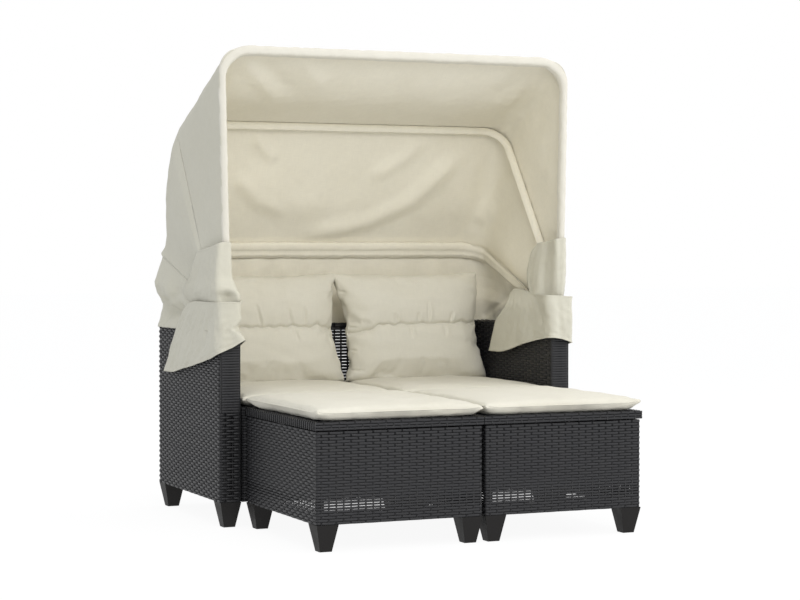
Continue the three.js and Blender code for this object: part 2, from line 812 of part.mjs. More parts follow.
function addCanopy(sofa) {
  const legs = { front: frontLegX, middle: middleLegX, rear: rearLegX };
  for (const [name, legX] of Object.entries(legs)) {
    sofa.add(node(`${name}_hoop`, hoopGeometry(hoops[name], legX), blackSteel));
  }
  sofa.add(node('canopy_roof', canopyRoof(), canopyCloth));
  sofa.add(node('canopy_back', canopyBack(), canopyCloth));
  sofa.add(node('canopy_curtain', canopyCurtain(), canopyCloth));
}

function addStool(root, side, sign) {
  const stool = new THREE.Group();
  stool.position.set((sign * (lidWidth + stoolGap)) / 2, sofaFrontY - stoolToSofa - lidDepth / 2, 0);
  stool.add(node(`stool_frame_${side}`, stoolFrame(), blackSteel));
  stool.add(node(`stool_weave_${side}`, stoolWeave(), rattan));
  stool.add(node(`stool_top_frame_${side}`, lidFrame(), blackSteel));
  stool.add(node(`stool_top_weave_${side}`, lidWeave(), rattan));
  const inset = footTopWidth / 2;
  for (const [end, y] of [['front', inset - stoolDepth / 2], ['rear', stoolDepth / 2 - inset]]) {
    for (const [edge, x] of [['left', inset - stoolWidth / 2], ['right', stoolWidth / 2 - inset]]) {
      stool.add(node(`stool_${side}_foot_${end}_${edge}`, foot(x, y), footPlastic));
    }
  }
  restPlaces().forEach((x, index) => {
    const edge = index === 0 ? 'left' : 'right';
    stool.add(node(`stool_${side}_bolt_${edge}`, lidBolt(x), zincSteel));
  });
  const pad = node(`stool_cushion_${side}`, seatPad(lidWidth - padGap, lidDepth - padGap, 10), cushionCloth);
  pad.position.z = seatTop + fitGap;
  stool.add(pad);
  root.add(stool);
}

const daybed = new THREE.Group();
const sofaGroup = addSofa(daybed);
addCanopy(sofaGroup);
addStool(daybed, 'right', 1);
addStool(daybed, 'left', -1);

export default daybed;
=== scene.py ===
"""Looks of the two-seat garden daybed: woven panels, cushions, canopy cloth, camera and light.

Shapes are built with the sofa's front face at y = 0, its middle at x = 0 and the floor at z = 0, in
metres. build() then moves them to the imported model's frame.
"""

import math

import bmesh
import bpy
import numpy as np
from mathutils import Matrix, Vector
from mathutils.bvhtree import BVHTree


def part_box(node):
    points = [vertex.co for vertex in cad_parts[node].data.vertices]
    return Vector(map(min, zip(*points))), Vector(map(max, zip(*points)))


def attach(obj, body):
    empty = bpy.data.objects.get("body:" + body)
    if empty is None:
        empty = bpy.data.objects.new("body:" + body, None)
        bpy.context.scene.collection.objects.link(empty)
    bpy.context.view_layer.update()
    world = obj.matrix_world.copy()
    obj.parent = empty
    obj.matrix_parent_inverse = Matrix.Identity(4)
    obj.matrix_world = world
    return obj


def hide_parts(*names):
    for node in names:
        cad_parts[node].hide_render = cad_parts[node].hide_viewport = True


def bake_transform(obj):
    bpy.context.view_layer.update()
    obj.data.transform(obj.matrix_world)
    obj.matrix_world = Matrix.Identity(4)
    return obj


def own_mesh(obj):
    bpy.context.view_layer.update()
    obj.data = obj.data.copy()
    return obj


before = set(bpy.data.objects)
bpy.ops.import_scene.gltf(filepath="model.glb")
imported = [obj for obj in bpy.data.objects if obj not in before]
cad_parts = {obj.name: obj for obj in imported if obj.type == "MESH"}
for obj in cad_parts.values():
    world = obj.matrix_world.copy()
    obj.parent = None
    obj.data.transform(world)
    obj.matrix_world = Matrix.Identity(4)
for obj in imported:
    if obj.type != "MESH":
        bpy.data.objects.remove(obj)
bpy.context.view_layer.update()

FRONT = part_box("seat_weave")[0][1]
OFFSET = np.array([0.0, FRONT, 0.0])


def node_box(name):
    """A CAD node's corners, in this script's own coordinates."""
    low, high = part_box(name)
    return np.array(low) - OFFSET, np.array(high) - OFFSET


# Camera, which is fitted to straight edges of the photograph

CAMERA = np.array([-2.618, -6.0561, 0.8599])
TURN, PITCH = math.radians(24.315), math.radians(-0.906)
FOCAL_PX, MIDDLE_PX = 2104.86, (435.82, 277.37)
WIDE_PX, HIGH_PX, SENSOR_MM = 800, 600, 36
AHEAD = np.array([math.sin(TURN) * math.cos(PITCH), math.cos(TURN) * math.cos(PITCH), math.sin(PITCH)])
RIGHT = np.array([math.cos(TURN), -math.sin(TURN), 0.0])
UP = np.cross(RIGHT, AHEAD)


def pixel(points):
    """Where points lie in the photograph's frame."""
    d = np.asarray(points, float) - CAMERA
    depth = d @ AHEAD
    u = MIDDLE_PX[0] + FOCAL_PX * (d @ RIGHT) / depth
    v = MIDDLE_PX[1] - FOCAL_PX * (d @ UP) / depth
    return np.stack([u, v], -1)


def seen(u, v, x=None, y=None):
    """The point at a place in the photograph's frame, on the plane at that x or that y."""
    way = AHEAD + RIGHT * (u - MIDDLE_PX[0]) / FOCAL_PX - UP * (v - MIDDLE_PX[1]) / FOCAL_PX
    axis, value = (0, x) if x is not None else (1, y)
    return CAMERA + way * (value - CAMERA[axis]) / way[axis]


# Numbers


def waves(points, length, seed, count=14):
    """Smooth noise of about that wavelength, from -1 to 1, as a sum of seeded sine waves."""
    random = np.random.default_rng(seed)
    points = np.asarray(points, float)
    total = np.zeros(points.shape[:-1])
    for _ in range(count):
        way = random.normal(size=points.shape[-1])
        way *= 2 * math.pi / length / np.linalg.norm(way) * random.uniform(0.6, 1.7)
        total += np.sin(points @ way + random.uniform(0, 2 * math.pi))
    return total / math.sqrt(count) * 0.9


def smooth(x, a, b):
    """0 up to a, 1 from b on and an even slope between."""
    t = np.clip((np.asarray(x, float) - a) / (b - a), 0, 1)
    return t * t * (3 - 2 * t)


def bell(x):
    return np.exp(-(x**2))


def unit(v):
    return v / np.maximum(np.linalg.norm(v, axis=-1, keepdims=True), 1e-12)


def square(v, way):
    """The unit vector nearest to v that is square to way."""
    return unit(v - way * (v * way).sum(-1, keepdims=True))


def steps_of(line):
    """The lengths of a line's steps."""
    return np.linalg.norm(np.diff(line, axis=0), axis=-1)


def running(steps):
    """The sums of steps so far, from 0."""
    return np.concatenate([[0], np.cumsum(steps)])


def spline(points, count):
    """A Catmull-Rom curve through points, along the first axis, at evenly spaced parameters."""
    points = np.asarray(points, float)
    n = len(points)
    ends = np.concatenate([2 * points[:1] - points[1:2], points, 2 * points[-1:] - points[-2:-1]])
    t = np.linspace(0, n - 1, count)
    i = np.minimum(t.astype(int), n - 2)
    f = (t - i).reshape((-1,) + (1,) * (points.ndim - 1))
    a, b, c, d = (ends[i + k] for k in range(4))
    return 0.5 * (2 * b + (c - a) * f + (2 * a - 5 * b + 4 * c - d) * f**2 + (3 * b - a - 3 * c + d) * f**3)


def patch(grid, rows, columns):
    """A fine grid through a coarse grid of control points."""
    fine = spline(np.asarray(grid, float), rows)
    return np.swapaxes(spline(np.swapaxes(fine, 0, 1), columns), 0, 1)


def normals_of(grid):
    """Unit normals of a grid of points: across the columns x down the rows."""
    return unit(np.cross(np.gradient(grid, axis=1), np.gradient(grid, axis=0)))


# Meshes

CLOTH_THICK, HEM_THICK = 0.0014, 0.0034
PACKED = 0.99  # share of the square for baking that a sheet takes up


def build(name, points, faces, materials, which=None, weave=None, bake=None):
    """A mesh object. weave and bake are one (u, v) per face corner: weave in metres, bake in 0..1."""
    data = bpy.data.meshes.new(name)
    data.from_pydata((np.asarray(points) + OFFSET).tolist(), [], np.asarray(faces).tolist())
    for material in materials:
        data.materials.append(material)
    if which is not None:
        data.polygons.foreach_set("material_index", np.asarray(which, np.int32))
    for label, uv in (("OFBake", bake), ("Weave", weave)):
        if uv is not None:
            layer = data.uv_layers.new(name=label)
            layer.data.foreach_set("uv", np.asarray(uv, np.float32).ravel())
    data.polygons.foreach_set("use_smooth", [True] * len(data.polygons))
    obj = bpy.data.objects.new(name, data)
    bpy.context.scene.collection.objects.link(obj)
    return obj


def quads(*corners):
    return np.stack(corners, -1).reshape(-1, 4)


def grid_faces(rows, columns, closed=False):
    r, c = np.meshgrid(np.arange(rows - 1), np.arange(columns if closed else columns - 1), indexing="ij")
    n = (c + 1) % columns
    return quads(r * columns + c, r * columns + n, (r + 1) * columns + n, (r + 1) * columns + c)


def rim_of(rows, columns):
    """The numbers of a grid's edge points in order round it, and the number of each one's next."""
    n = np.arange(rows * columns).reshape(rows, columns)
    edge = np.concatenate([n[0], n[1:, -1], n[-1, -2::-1], n[-2:0:-1, 0]])
    return edge, np.roll(edge, -1)


def lengths_of(grid):
    """Metres along the rows and down the columns of a grid, for the weave."""
    across = np.linalg.norm(np.diff(grid, axis=1), axis=-1).mean(0)
    down = np.linalg.norm(np.diff(grid, axis=0), axis=-1).mean(1)
    return running(across), running(down)


def shell(grid, thick, first, of):
    """A closed sheet on a grid: points, faces, weave and packed coordinates, and material index.
    Its outer side is the one that the grid's normals point to."""
    rows, columns = grid.shape[:2]
    count = rows * columns
    half = normals_of(grid) * np.broadcast_to(np.asarray(thick, float), (rows, columns))[..., None] / 2
    points = np.concatenate([(grid + half).reshape(-1, 3), (grid - half).reshape(-1, 3)])
    top = grid_faces(rows, columns)
    edge, after = rim_of(rows, columns)
    rim = quads(edge, edge + count, after + count, after)
    faces = np.concatenate([top[:, ::-1], top + count, rim[:, ::-1]])
    across, down = lengths_of(grid)
    u, v = (np.tile(part.ravel(), 2) for part in np.meshgrid(across, down))
    span = max(across[-1], down[-1] * 2, 1e-6)
    packed = np.stack([(u / span * PACKED + first) / of, v / span * PACKED], -1)
    packed[count:, 1] += 0.5
    which = np.concatenate([np.zeros(len(top)), np.ones(len(top)), np.zeros(len(rim))])
    return points, faces, np.stack([u, v], -1)[faces], packed[faces], which


def hemmed(grid, rows=(0, 0), columns=(0, 0)):
    """A sheet's thickness with turned-over hems: how many rows and columns at each end are double."""
    high, wide = grid.shape[:2]
    row, column = np.arange(high)[:, None], np.arange(wide)
    hem = (row < rows[0]) | (row >= high - rows[1]) | (column < columns[0]) | (column >= wide - columns[1])
    return np.where(hem, HEM_THICK, CLOTH_THICK)


def cloth(name, *sheets):
    """A piece of canopy cloth made of sheets, each a grid and its thickness. Its inner side takes the
    lighter inside colour, painted light for light that shines through the cloth.
    """
    made, base = [], 0
    for k, (grid, thick) in enumerate(sheets):
        points, faces, *rest = shell(grid, thick, k, len(sheets))
        made.append((points, faces + base, *rest))
        base += len(points)
    points, faces, metres, packed, which = (np.concatenate(part) for part in zip(*made))
    return build(name, points, faces, [CANOPY_OUT, CANOPY_IN_PAINTED_LIGHT], which, metres, packed)


def face_out(obj):
    """Turns a closed mesh's faces to the outside."""
    bm = bmesh.new()
    bm.from_mesh(obj.data)
    bmesh.ops.recalc_face_normals(bm, faces=bm.faces)
    bm.to_mesh(obj.data)
    bm.free()


# Materials


def linear(rgb):
    return np.array([c / 255 / 12.92 if c <= 10 else ((c / 255 + 0.055) / 1.055) ** 2.4 for c in rgb])


class Nodes:
    """Short calls for the nodes of one tree."""

    def __init__(self, tree):
        self.tree = tree

    def fill(self, node, inputs):
        """Sets a node's inputs: an output is linked, any other value becomes the input's own."""
        for key, value in inputs.items():
            if isinstance(value, bpy.types.NodeSocket):
                self.tree.links.new(value, node.inputs[key])
            else:
                node.inputs[key].default_value = value

    def add(self, kind, inputs=None, **settings):
        made = self.tree.nodes.new(kind)
        for key, value in settings.items():
            setattr(made, key, value)
        self.fill(made, inputs or {})
        return made

    def place(self, uv=None, scale=(1, 1, 1)):
        """Coordinates of a UV map, or else of the object."""
        if uv:
            source = self.add("ShaderNodeUVMap", uv_map=uv).outputs["UV"]
        else:
            source = self.add("ShaderNodeTexCoord").outputs["Object"]
        return self.add("ShaderNodeMapping", {"Vector": source, "Scale": scale}).outputs["Vector"]

    def noise(self, vector, scale, detail=3, rough=0.5):
        inputs = {"Vector": vector, "Scale": scale, "Detail": detail, "Roughness": rough}
        return self.add("ShaderNodeTexNoise", inputs).outputs["Fac"]

    def ramp(self, value, *stops):
        made = self.add("ShaderNodeValToRGB", {"Fac": value})
        band = made.color_ramp
        while len(band.elements) < len(stops):
            band.elements.new(0.5)
        for element, (at, rgb) in zip(band.elements, stops):
            element.position = at
            element.color = (*rgb, 1)
        return made.outputs["Color"]

    def range(self, value, low, high, to_low, to_high):
        inputs = {"Value": value, "From Min": low, "From Max": high, "To Min": to_low, "To Max": to_high}
        return self.add("ShaderNodeMapRange", inputs).outputs["Result"]

    def math(self, how, a, b):
        return self.add("ShaderNodeMath", {0: a, 1: b}, operation=how).outputs["Value"]

    def bump(self, height, distance, strength, **normal):
        inputs = {"Height": height, "Distance": distance, "Strength": strength, **normal}
        return self.add("ShaderNodeBump", inputs).outputs["Normal"]

    def multiply(self, a, b):
        inputs = {0: 1.0, 6: a, 7: b}
        return self.add("ShaderNodeMix", inputs, data_type="RGBA", blend_type="MULTIPLY").outputs[2]


def new_material(name):
    """A material, its nodes and its shader."""
    made = bpy.data.materials.new(name)
    made.use_nodes = True
    return made, Nodes(made.node_tree), made.node_tree.nodes["Principled BSDF"]


THREAD = 0.0009


def woven_cloth(name, rgb, slub=0.05):
    """Plain-woven polyester: threads both ways, slubs along them, slow shade changes."""
    made, n, shader = new_material(name)
    base = linear(rgb)
    metres = n.place("Weave")
    slubs = n.math("ADD", *(n.noise(n.place("Weave", s), 1, 2) for s in ((28, 900, 1), (900, 28, 1))))
    fine = n.noise(metres, 60, 4)
    both = n.math("ADD", n.math("MULTIPLY", slubs, 0.5), n.math("MULTIPLY", fine, 0.25))
    stops = (0.0, base * (1 - slub)), (0.5, base), (1.0, np.minimum(base * (1 + slub), 1))
    colour = n.ramp(n.range(both, 0.4, 0.85, 0, 1), *stops)
    tone = n.ramp(n.noise(n.place(), 5.5), (0.3, (0.965, 0.962, 0.95)), (0.7, (1, 1, 1)))
    inputs = {"Vector": metres, "Scale": 2 * math.pi / 20 / THREAD / 2, "Distortion": 0.6, "Detail": 0}
    threads = [n.add("ShaderNodeTexWave", inputs, bands_direction=way).outputs["Fac"] for way in "XY"]
    height = n.math("ADD", n.math("MULTIPLY", n.math("MAXIMUM", *threads), 0.5), slubs)
    looks = {
        "Base Color": n.multiply(colour, tone),
        "Normal": n.bump(fine, 0.0009, 0.6, Normal=n.bump(height, 0.00022, 0.7)),
        "Roughness": n.range(slubs, 0.6, 1.4, 0.8, 0.94),
        "Sheen Weight": 0.12, "Sheen Roughness": 0.5, "Specular IOR Level": 0.25,
    }
    n.fill(shader, looks)
    return made


def rattan_material(name, rgb):
    """Resin strand: fine draw lines along it, slow shade changes from strand to strand, dull wear."""
    made, n, shader = new_material(name)
    base = linear(rgb)
    lines = n.noise(n.place("Weave", (14, 2600, 1)), 1, 2)
    strands = n.noise(n.place("Weave", (2.2, 40, 1)), 1, 2)
    value = n.math("ADD", n.math("MULTIPLY", lines, 0.4), n.math("MULTIPLY", strands, 0.6))
    colour = n.ramp(value, (0.25, base * 0.84), (0.5, base), (0.78, base * 1.2))
    worn = n.ramp(n.noise(n.place(), 22, 4, 0.6), (0.45, (1, 1, 1)), (0.8, (1.16, 1.14, 1.1)))
    looks = {
        "Base Color": n.multiply(colour, worn), "Normal": n.bump(lines, 0.0003, 0.6),
        "Roughness": n.range(value, 0.3, 0.7, 0.36, 0.52), "Specular IOR Level": 0.26,
    }
    n.fill(shader, looks)
    return made


def powder_coat(name, rgb, metallic=0.0, rough=(0.38, 0.52), grain=900):
    """A painted, plated or moulded surface: fine grain and slow wear."""
    made, n, shader = new_material(name)
    base, place = linear(rgb), n.place()
    wear = n.noise(place, 28, 4, 0.6)
    looks = {
        "Base Color": n.ramp(wear, (0.35, base * 0.9), (0.62, base * 1.04), (0.85, base * 1.25)),
        "Normal": n.bump(n.noise(place, grain, 2), 0.00015, 0.7), "Metallic": metallic,
        "Roughness": n.range(wear, 0.3, 0.7, *rough), "Specular IOR Level": 0.28,
    }
    n.fill(shader, looks)
    return made


RATTAN = rattan_material("rattan_strand", (47, 47, 49))
# This darker copy of the strand colour is painted shade: it goes on the strands' bevelled edges for the
# grooves between rows, and on the stakes that show through the gaps.
RATTAN_PAINTED_SHADE = rattan_material("rattan_painted_shade", (25, 25, 27))
STEEL = powder_coat("powder_coated_steel", (30, 30, 32))
ZINC = powder_coat("zinc_plated_steel", (178, 180, 182), 0.9, (0.28, 0.42), 300)
PLASTIC = powder_coat("moulded_foot", (20, 18, 17), 0.0, (0.5, 0.62), 700)
CANOPY_OUT = woven_cloth("canopy_cloth_outside", (205, 202, 187))
# The hem colour is painted light: a lighter copy of the outside colour for the front casing's lit face.
CANOPY_HEM_PAINTED_LIGHT = woven_cloth("canopy_cloth_hem_painted_light", (219, 215, 203))
# The inside colour is painted light: lighter than the outside to stand in for light that shines through the
# thin cloth.
CANOPY_IN_PAINTED_LIGHT = woven_cloth("canopy_cloth_inside_painted_light", (237, 232, 216))
CUSHION = woven_cloth("cushion_cloth", (218, 214, 200), 0.045)


# Carried-over CAD nodes: tubes, bolts, brackets and feet

FOOT_EDGE, TUBE_EDGE = 0.0022, 0.0012

for label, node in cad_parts.items():
    chosen = PLASTIC if "foot" in label else ZINC if "nut" in label or "bolt" in label else STEEL
    for slot in node.material_slots:
        slot.link = "OBJECT"
        slot.material = chosen
    if "foot" in label or "frame" in label:
        soft = node.modifiers.new("edges", "BEVEL")
        soft.width = FOOT_EDGE if "foot" in label else TUBE_EDGE
        soft.segments, soft.limit_method, soft.harden_normals = 2, "ANGLE", True


# Woven panels

ROW, STAKE, BACK_ROW = 0.0082, 0.024, 0.0107  # from strand to strand and from stake to stake
STOOL_ROW, STOOL_STAKE = 0.0081, 0.0222
PLAIN, OPEN = 0.0086, 0.0088  # width of strands
AMPLITUDE, SKIN = 0.0018, 0.0021  # how far strands swing, and how far under a panel's face they lie
EDGE = 0.002  # how far strands stay inside a panel's edge
ARM_DIP, STOOL_DIP = (0.0029, 0.14), (0.0017, 0.12)  # depth, and half its length in stakes
STAKE_AT = 0.36  # where in a strand's step the stake stands
ALONG_X, ALONG_Y, ALONG_Z = np.eye(3)
TOP_FACE, ARM_TOP = (ALONG_X, ALONG_Y, ALONG_Z), (ALONG_Y, ALONG_X, ALONG_Z)
FRONT_FACE, REAR_FACE = (ALONG_X, ALONG_Z, -ALONG_Y), (ALONG_X, ALONG_Z, ALONG_Y)


def ribbons(centres, normal, across, width, thick, closed=False, face=0.34):
    """Flat strands whose bevelled edges carry painted shade for the grooves between rows: points, faces,
    weave coordinates and the faces with painted shade.
    centres are (rows, n, 3); normal and across broadcast to them."""
    rows, n = centres.shape[:2]
    normal, across = np.broadcast_to(normal, centres.shape), np.broadcast_to(across, centres.shape)
    corner = [(-0.5, -0.5), (0.5, -0.5), (face, 0.5), (-face, 0.5)]
    wide = np.broadcast_to(np.asarray(width, float), (rows, n))[..., None]
    points = np.stack([centres + across * (a * wide) + normal * (b * thick) for a, b in corner], 2)
    width = float(wide.mean())
    i, k = np.arange(n if closed else n - 1), np.arange(4)
    here, there, m = i[:, None] * 4, (i[:, None] + 1) % n * 4, (k + 1) % 4
    one = quads(here + k, here + m, there + m, there + k)
    faces = (np.arange(rows)[:, None, None] * n * 4 + one).reshape(-1, 4)
    step = steps_of(centres[0])
    s = np.append(running(step), step.sum() + (step[0] if closed else 0))
    girth = np.array([0, width, width + thick, 2 * width, 2 * width + 2 * thick])
    u0, u1 = s[i][:, None] + 0 * k, s[i + 1][:, None] + 0 * k
    g0, g1 = girth[k] + 0 * i[:, None], girth[k + 1] + 0 * i[:, None]
    uv = np.stack([np.stack(pair, -1) for pair in ((u0, g0), (u0, g1), (u1, g1), (u1, g0))], 2)
    row_at = (np.arange(rows) * girth[-1] * 1.08)[:, None, None, None]
    uv = (uv.reshape(-1, 4, 2) + np.concatenate([0 * row_at, row_at], -1)).reshape(-1, 4, 2)
    # the bevels take the painted shade of the grooves between rows
    painted_shade_faces = np.tile([0, 1, 0, 1], rows * len(i))
    if not closed:
        start = np.arange(rows)[:, None] * n * 4 + k
        faces = np.concatenate([faces, start, start[:, ::-1] + (n - 1) * 4])
        uv = np.concatenate([uv, np.repeat(uv[:1], 2 * rows, 0)])
        painted_shade_faces = np.concatenate([painted_shade_faces, np.zeros(2 * rows)])
    return points.reshape(-1, 3), faces, uv, painted_shade_faces


def stakes_on(lines, normal, across):
    """Stakes along lines: strands with painted shade all round, as they show only in the gaps between
    strands.
    """
    points, faces, uv, painted_shade_faces = ribbons(lines, normal, across, 0.005, 0.0012, face=0.4)
    return points, faces, uv, painted_shade_faces * 0 + 1


def woven(name, parts, body, node):
    """Joins strands and stakes into one piece that replaces its CAD panel."""
    highs = [float(uv[..., 1].max()) + 0.001 for _, _, uv, _ in parts]
    span = max(max(float(uv[..., 0].max()) for _, _, uv, _ in parts), sum(highs))
    made, base, place = [], 0, 0.0
    for (points, faces, uv, painted_shade_faces), high in zip(parts, highs):
        made.append((points, faces + base, painted_shade_faces, uv, (uv + (0, place)) / span))
        base += len(points)
        place += high
    points, faces, painted_shade_faces, uv, bake = (np.concatenate(part) for part in zip(*made))
    obj = build(name, points, faces, [RATTAN, RATTAN_PAINTED_SHADE], painted_shade_faces, uv, bake)
    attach(obj, body)
    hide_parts(node)


def rounded_loop(x0, x1, y0, y1, radius, shares):
    """Points and outward normals at shares of the way round a rectangle with round corners."""
    lengths = [x1 - x0 - 2 * radius, math.pi / 2 * radius, y1 - y0 - 2 * radius, math.pi / 2 * radius] * 2
    left, right, near, far = x0 + radius, x1 - radius, y0 + radius, y1 - radius
    corners = np.array([(right, near), (right, far), (left, far), (left, near)])
    points, normals = [], []
    for s in shares * sum(lengths):
        side = 0
        while s > lengths[side]:
            s -= lengths[side]
            side += 1
        turn, bent = side // 2, side % 2
        angle = -math.pi / 2 + turn * math.pi / 2 + bent * s / radius
        out = np.array([math.cos(angle), math.sin(angle)])
        back = 0.0 if bent else lengths[side] - s
        points.append(corners[turn] + out * radius - np.array([-out[1], out[0]]) * back)
        normals.append(out)
    return np.array(points), np.array(normals)


def wrapped_rows(low, high, row, stake, dips, calm, thin, ends=None):
    """Strands round an upright box, and its stakes. A strand lies over every second stake and dips
    under the ones between. calm scales the dips, thin narrows strands and ends sets stakes' tops."""
    (x0, y0, z0), (x1, y1, z1) = low, high
    depth, dip_at = dips
    inset, radius = depth + 0.0003, 0.005
    box = (x0 + inset, x1 - inset, y0 + inset, y1 - inset, radius)
    total = 2 * (x1 - x0 + y1 - y0 - 4 * inset - 4 * radius) + 2 * math.pi * radius
    stakes = 2 * round(total / stake / 2)
    steps = (0, STAKE_AT - dip_at, STAKE_AT + dip_at, 2 * STAKE_AT)
    at, out = rounded_loop(*box, ((np.arange(stakes)[:, None] + steps) / stakes).ravel())
    n = len(at)
    rows = int(round((z1 - z0) / row))
    z = z0 + (z1 - z0) / rows * (np.arange(rows) + 0.5)
    under = (np.arange(stakes)[None] + np.arange(rows)[:, None]) % 2 == 0
    off = depth * np.where(under[..., None], [0.7, -1, -1, 0.7], [0.8, 1, 1, 0.8]).reshape(rows, n)
    off = off * calm(at[None, :, 0], at[None, :, 1], z[:, None])
    centre = np.empty((rows, n, 3))
    centre[..., :2], centre[..., 2] = at, z[:, None]
    wobble = 0.00025 * waves(centre, 0.07, 3)
    normal = np.concatenate([out, np.zeros((n, 1))], -1)[None]
    centre = centre + normal * off[..., None]
    centre[..., 2] += wobble
    width = PLAIN - thin(at[None, :, 1], z[:, None])
    strands = ribbons(centre, normal, ALONG_Z, width, 0.0014, closed=True)
    at, out = rounded_loop(*box, (np.arange(stakes) + STAKE_AT) / stakes)
    lines = np.zeros((stakes, 2, 3))
    lines[:, :, :2] = at[:, None]
    lines[:, 0, 2], lines[:, 1, 2] = z0, z1 if ends is None else ends(at[:, 1], z1)
    normal = np.concatenate([out, np.zeros((stakes, 1))], -1)[:, None]
    side = np.stack([-out[:, 1], out[:, 0], np.zeros(stakes)], -1)[:, None]
    return [strands, stakes_on(lines, normal, side)]


def flat_rows(origin, face, length, height, width, per_stake=3, shift=0.0, row=ROW, swing=1.0):
    """Strands on a flat panel, and its stakes. face has the directions along the strands, over them
    and out of the panel; a strand takes per_stake steps from stake to stake."""
    origin = np.asarray(origin, float)
    along, over, normal = face
    n = max(int(round(length / STAKE)), 2) * per_stake + 1
    rows = max(int(round(height / row)), 1)
    s, number = np.linspace(0, length, n), np.arange(rows)
    at = origin + along * s[None, :, None] + over * (height / rows * (number + 0.5) + shift)[:, None, None]
    off = swing * AMPLITUDE * np.cos(np.pi * np.arange(n)[None] / per_stake + np.pi * number[:, None])
    off[:, [0, -1]] *= 0.3
    at = at + normal * (off[..., None] - SKIN)
    pick = s[::per_stake][1:-1]
    ends = over * np.array([0.0, height])[None, :, None]
    lines = origin + along * pick[:, None, None] + ends - normal * SKIN
    return [ribbons(at, normal, over, width, 0.0013), stakes_on(lines, normal, along)]


SEAT_HEIGHT = 0.35
ARM_FRONT, ARM_CORNER = 0.005, 0.012  # how far back an arm's front face and its bent corners reach
ARM_INSIDE = 0.535  # x past which an arm's strands are not on its inner face
STOOL_ENDS = (-0.58, -0.03)  # y of the stools' fronts and backs
LOOSE = 0.130  # height at which the stools' strands lie loosest


def arm_calm(x, y, z):
    """The arms' front faces are wound straight above the seat and woven over stakes below it. Their
    inner faces are woven flatter."""
    front = (y < ARM_CORNER) & (z > SEAT_HEIGHT)
    return np.where(front, 0.0, np.where(np.abs(x) < ARM_INSIDE, 0.35, 1.0))


def arm_stakes(y, top):
    return np.where(y < ARM_FRONT, SEAT_HEIGHT, top)


def arm_gaps(y, z):
    return np.where((y < ARM_FRONT) & (z < SEAT_HEIGHT), 0.0021, 0.0)


def stool_calm(x, y, z):
    """The stools' fronts and backs are woven flatter than their sides."""
    return np.where((y > STOOL_ENDS[0]) & (y < STOOL_ENDS[1]), 1.35, 0.52) + 0 * z


def stool_gaps(y, z):
    """The lower strands lie looser, so that light shows between them."""
    near = 0.0010 * np.exp(-(((z - LOOSE) / 0.019) ** 4)) + 0.0010 * bell((z - 0.129) / 0.006)
    return near * (1 + 0.25 * np.sin(430 * y + 9)) + 0 * z


for side in ("left", "right"):
    low, high = node_box(f"arm_weave_{side}")
    wide, deep, _ = high - low
    parts = wrapped_rows(low, high - (0, 0, EDGE), ROW, STAKE, ARM_DIP, arm_calm, arm_gaps, arm_stakes)
    corner = (low[0] + EDGE, low[1] + EDGE, high[2])
    parts += flat_rows(corner, ARM_TOP, deep - 2 * EDGE, wide - 2 * EDGE, 0.0079, 4)
    woven(f"arm_weave_looks_{side}", parts, "sofa", f"arm_weave_{side}")

low, high = node_box("back_weave")
wide, deep, tall = high - low
parts = flat_rows(low, FRONT_FACE, wide, tall - EDGE, OPEN, row=BACK_ROW)
corner = (low[0], high[1], low[2])
parts += flat_rows(corner, REAR_FACE, wide, tall - EDGE, OPEN, shift=-0.0036, row=BACK_ROW)
parts += flat_rows((low[0], low[1] + EDGE, high[2]), TOP_FACE, wide, deep - 2 * EDGE, 0.0074)
woven("back_weave_looks", parts, "sofa", "back_weave")

low, high = node_box("seat_weave")
wide, deep, tall = high - low
parts = flat_rows((low[0], low[1] + EDGE, high[2]), TOP_FACE, wide, deep - EDGE, PLAIN)
parts += flat_rows(low, FRONT_FACE, wide, tall - EDGE, PLAIN)
woven("seat_weave_looks", parts, "sofa", "seat_weave")

ROUND = (0.5, 1.05)  # angles at which a strand is bent over the stool top's edge
for side in ("left", "right"):
    body = f"stool_{side}_body"
    low, high = node_box(f"stool_weave_{side}")
    parts = wrapped_rows(low, high, STOOL_ROW, STOOL_STAKE, STOOL_DIP, stool_calm, stool_gaps)
    woven(f"stool_weave_looks_{side}", parts, body, f"stool_weave_{side}")
    low, high = node_box(f"stool_top_weave_{side}")
    wide, deep, lip = high - low
    bend, inset = 0.005, 0.003
    rows = int(round((deep - 2 * inset) / ROW))
    number = np.arange(rows)[:, None]
    left, right, top = low[0] + SKIN, high[0] - SKIN, high[2] - SKIN
    flat_x = np.linspace(left + bend, right - bend, 4 * int(round((right - left) / STAKE)) + 1)
    path = [(left, low[2]), (left, top - bend)]
    path += [(left + bend - bend * math.cos(a), top - bend + bend * math.sin(a)) for a in ROUND]
    path += [(x, top) for x in flat_x]
    path += [(right - bend + bend * math.sin(a), top - bend + bend * math.cos(a)) for a in ROUND]
    path = np.array([*path, (right, top - bend), (right, low[2])])
    way = np.gradient(path, axis=0)
    n = len(path)
    bulge = np.zeros(n)
    bulge[4 : 4 + len(flat_x)] = 1
    off = AMPLITUDE * bulge[None] * np.cos(np.pi * np.arange(n)[None] / 4 + np.pi * number)
    off += 0.0009 * (1 - bulge[None]) * np.cos(np.pi * number)
    centre, normal = np.zeros((rows, n, 3)), np.zeros((1, n, 3))
    centre[..., ::2] = path
    centre[..., 1] = low[1] + inset + (deep - 2 * inset) * (number + 0.5) / rows
    normal[..., ::2] = unit(np.stack([-way[:, 1], way[:, 0]], -1))
    parts = [ribbons(centre + normal * off[..., None], normal, ALONG_Y, 0.0082, 0.0014, face=0.3)]
    for y, face in ((low[1], FRONT_FACE), (high[1], REAR_FACE)):
        parts += flat_rows((low[0], y, low[2]), face, wide, lip - 0.001, 0.0075, swing=0.3)
    woven(f"stool_top_weave_looks_{side}", parts, body, f"stool_top_weave_{side}")


# Cushions


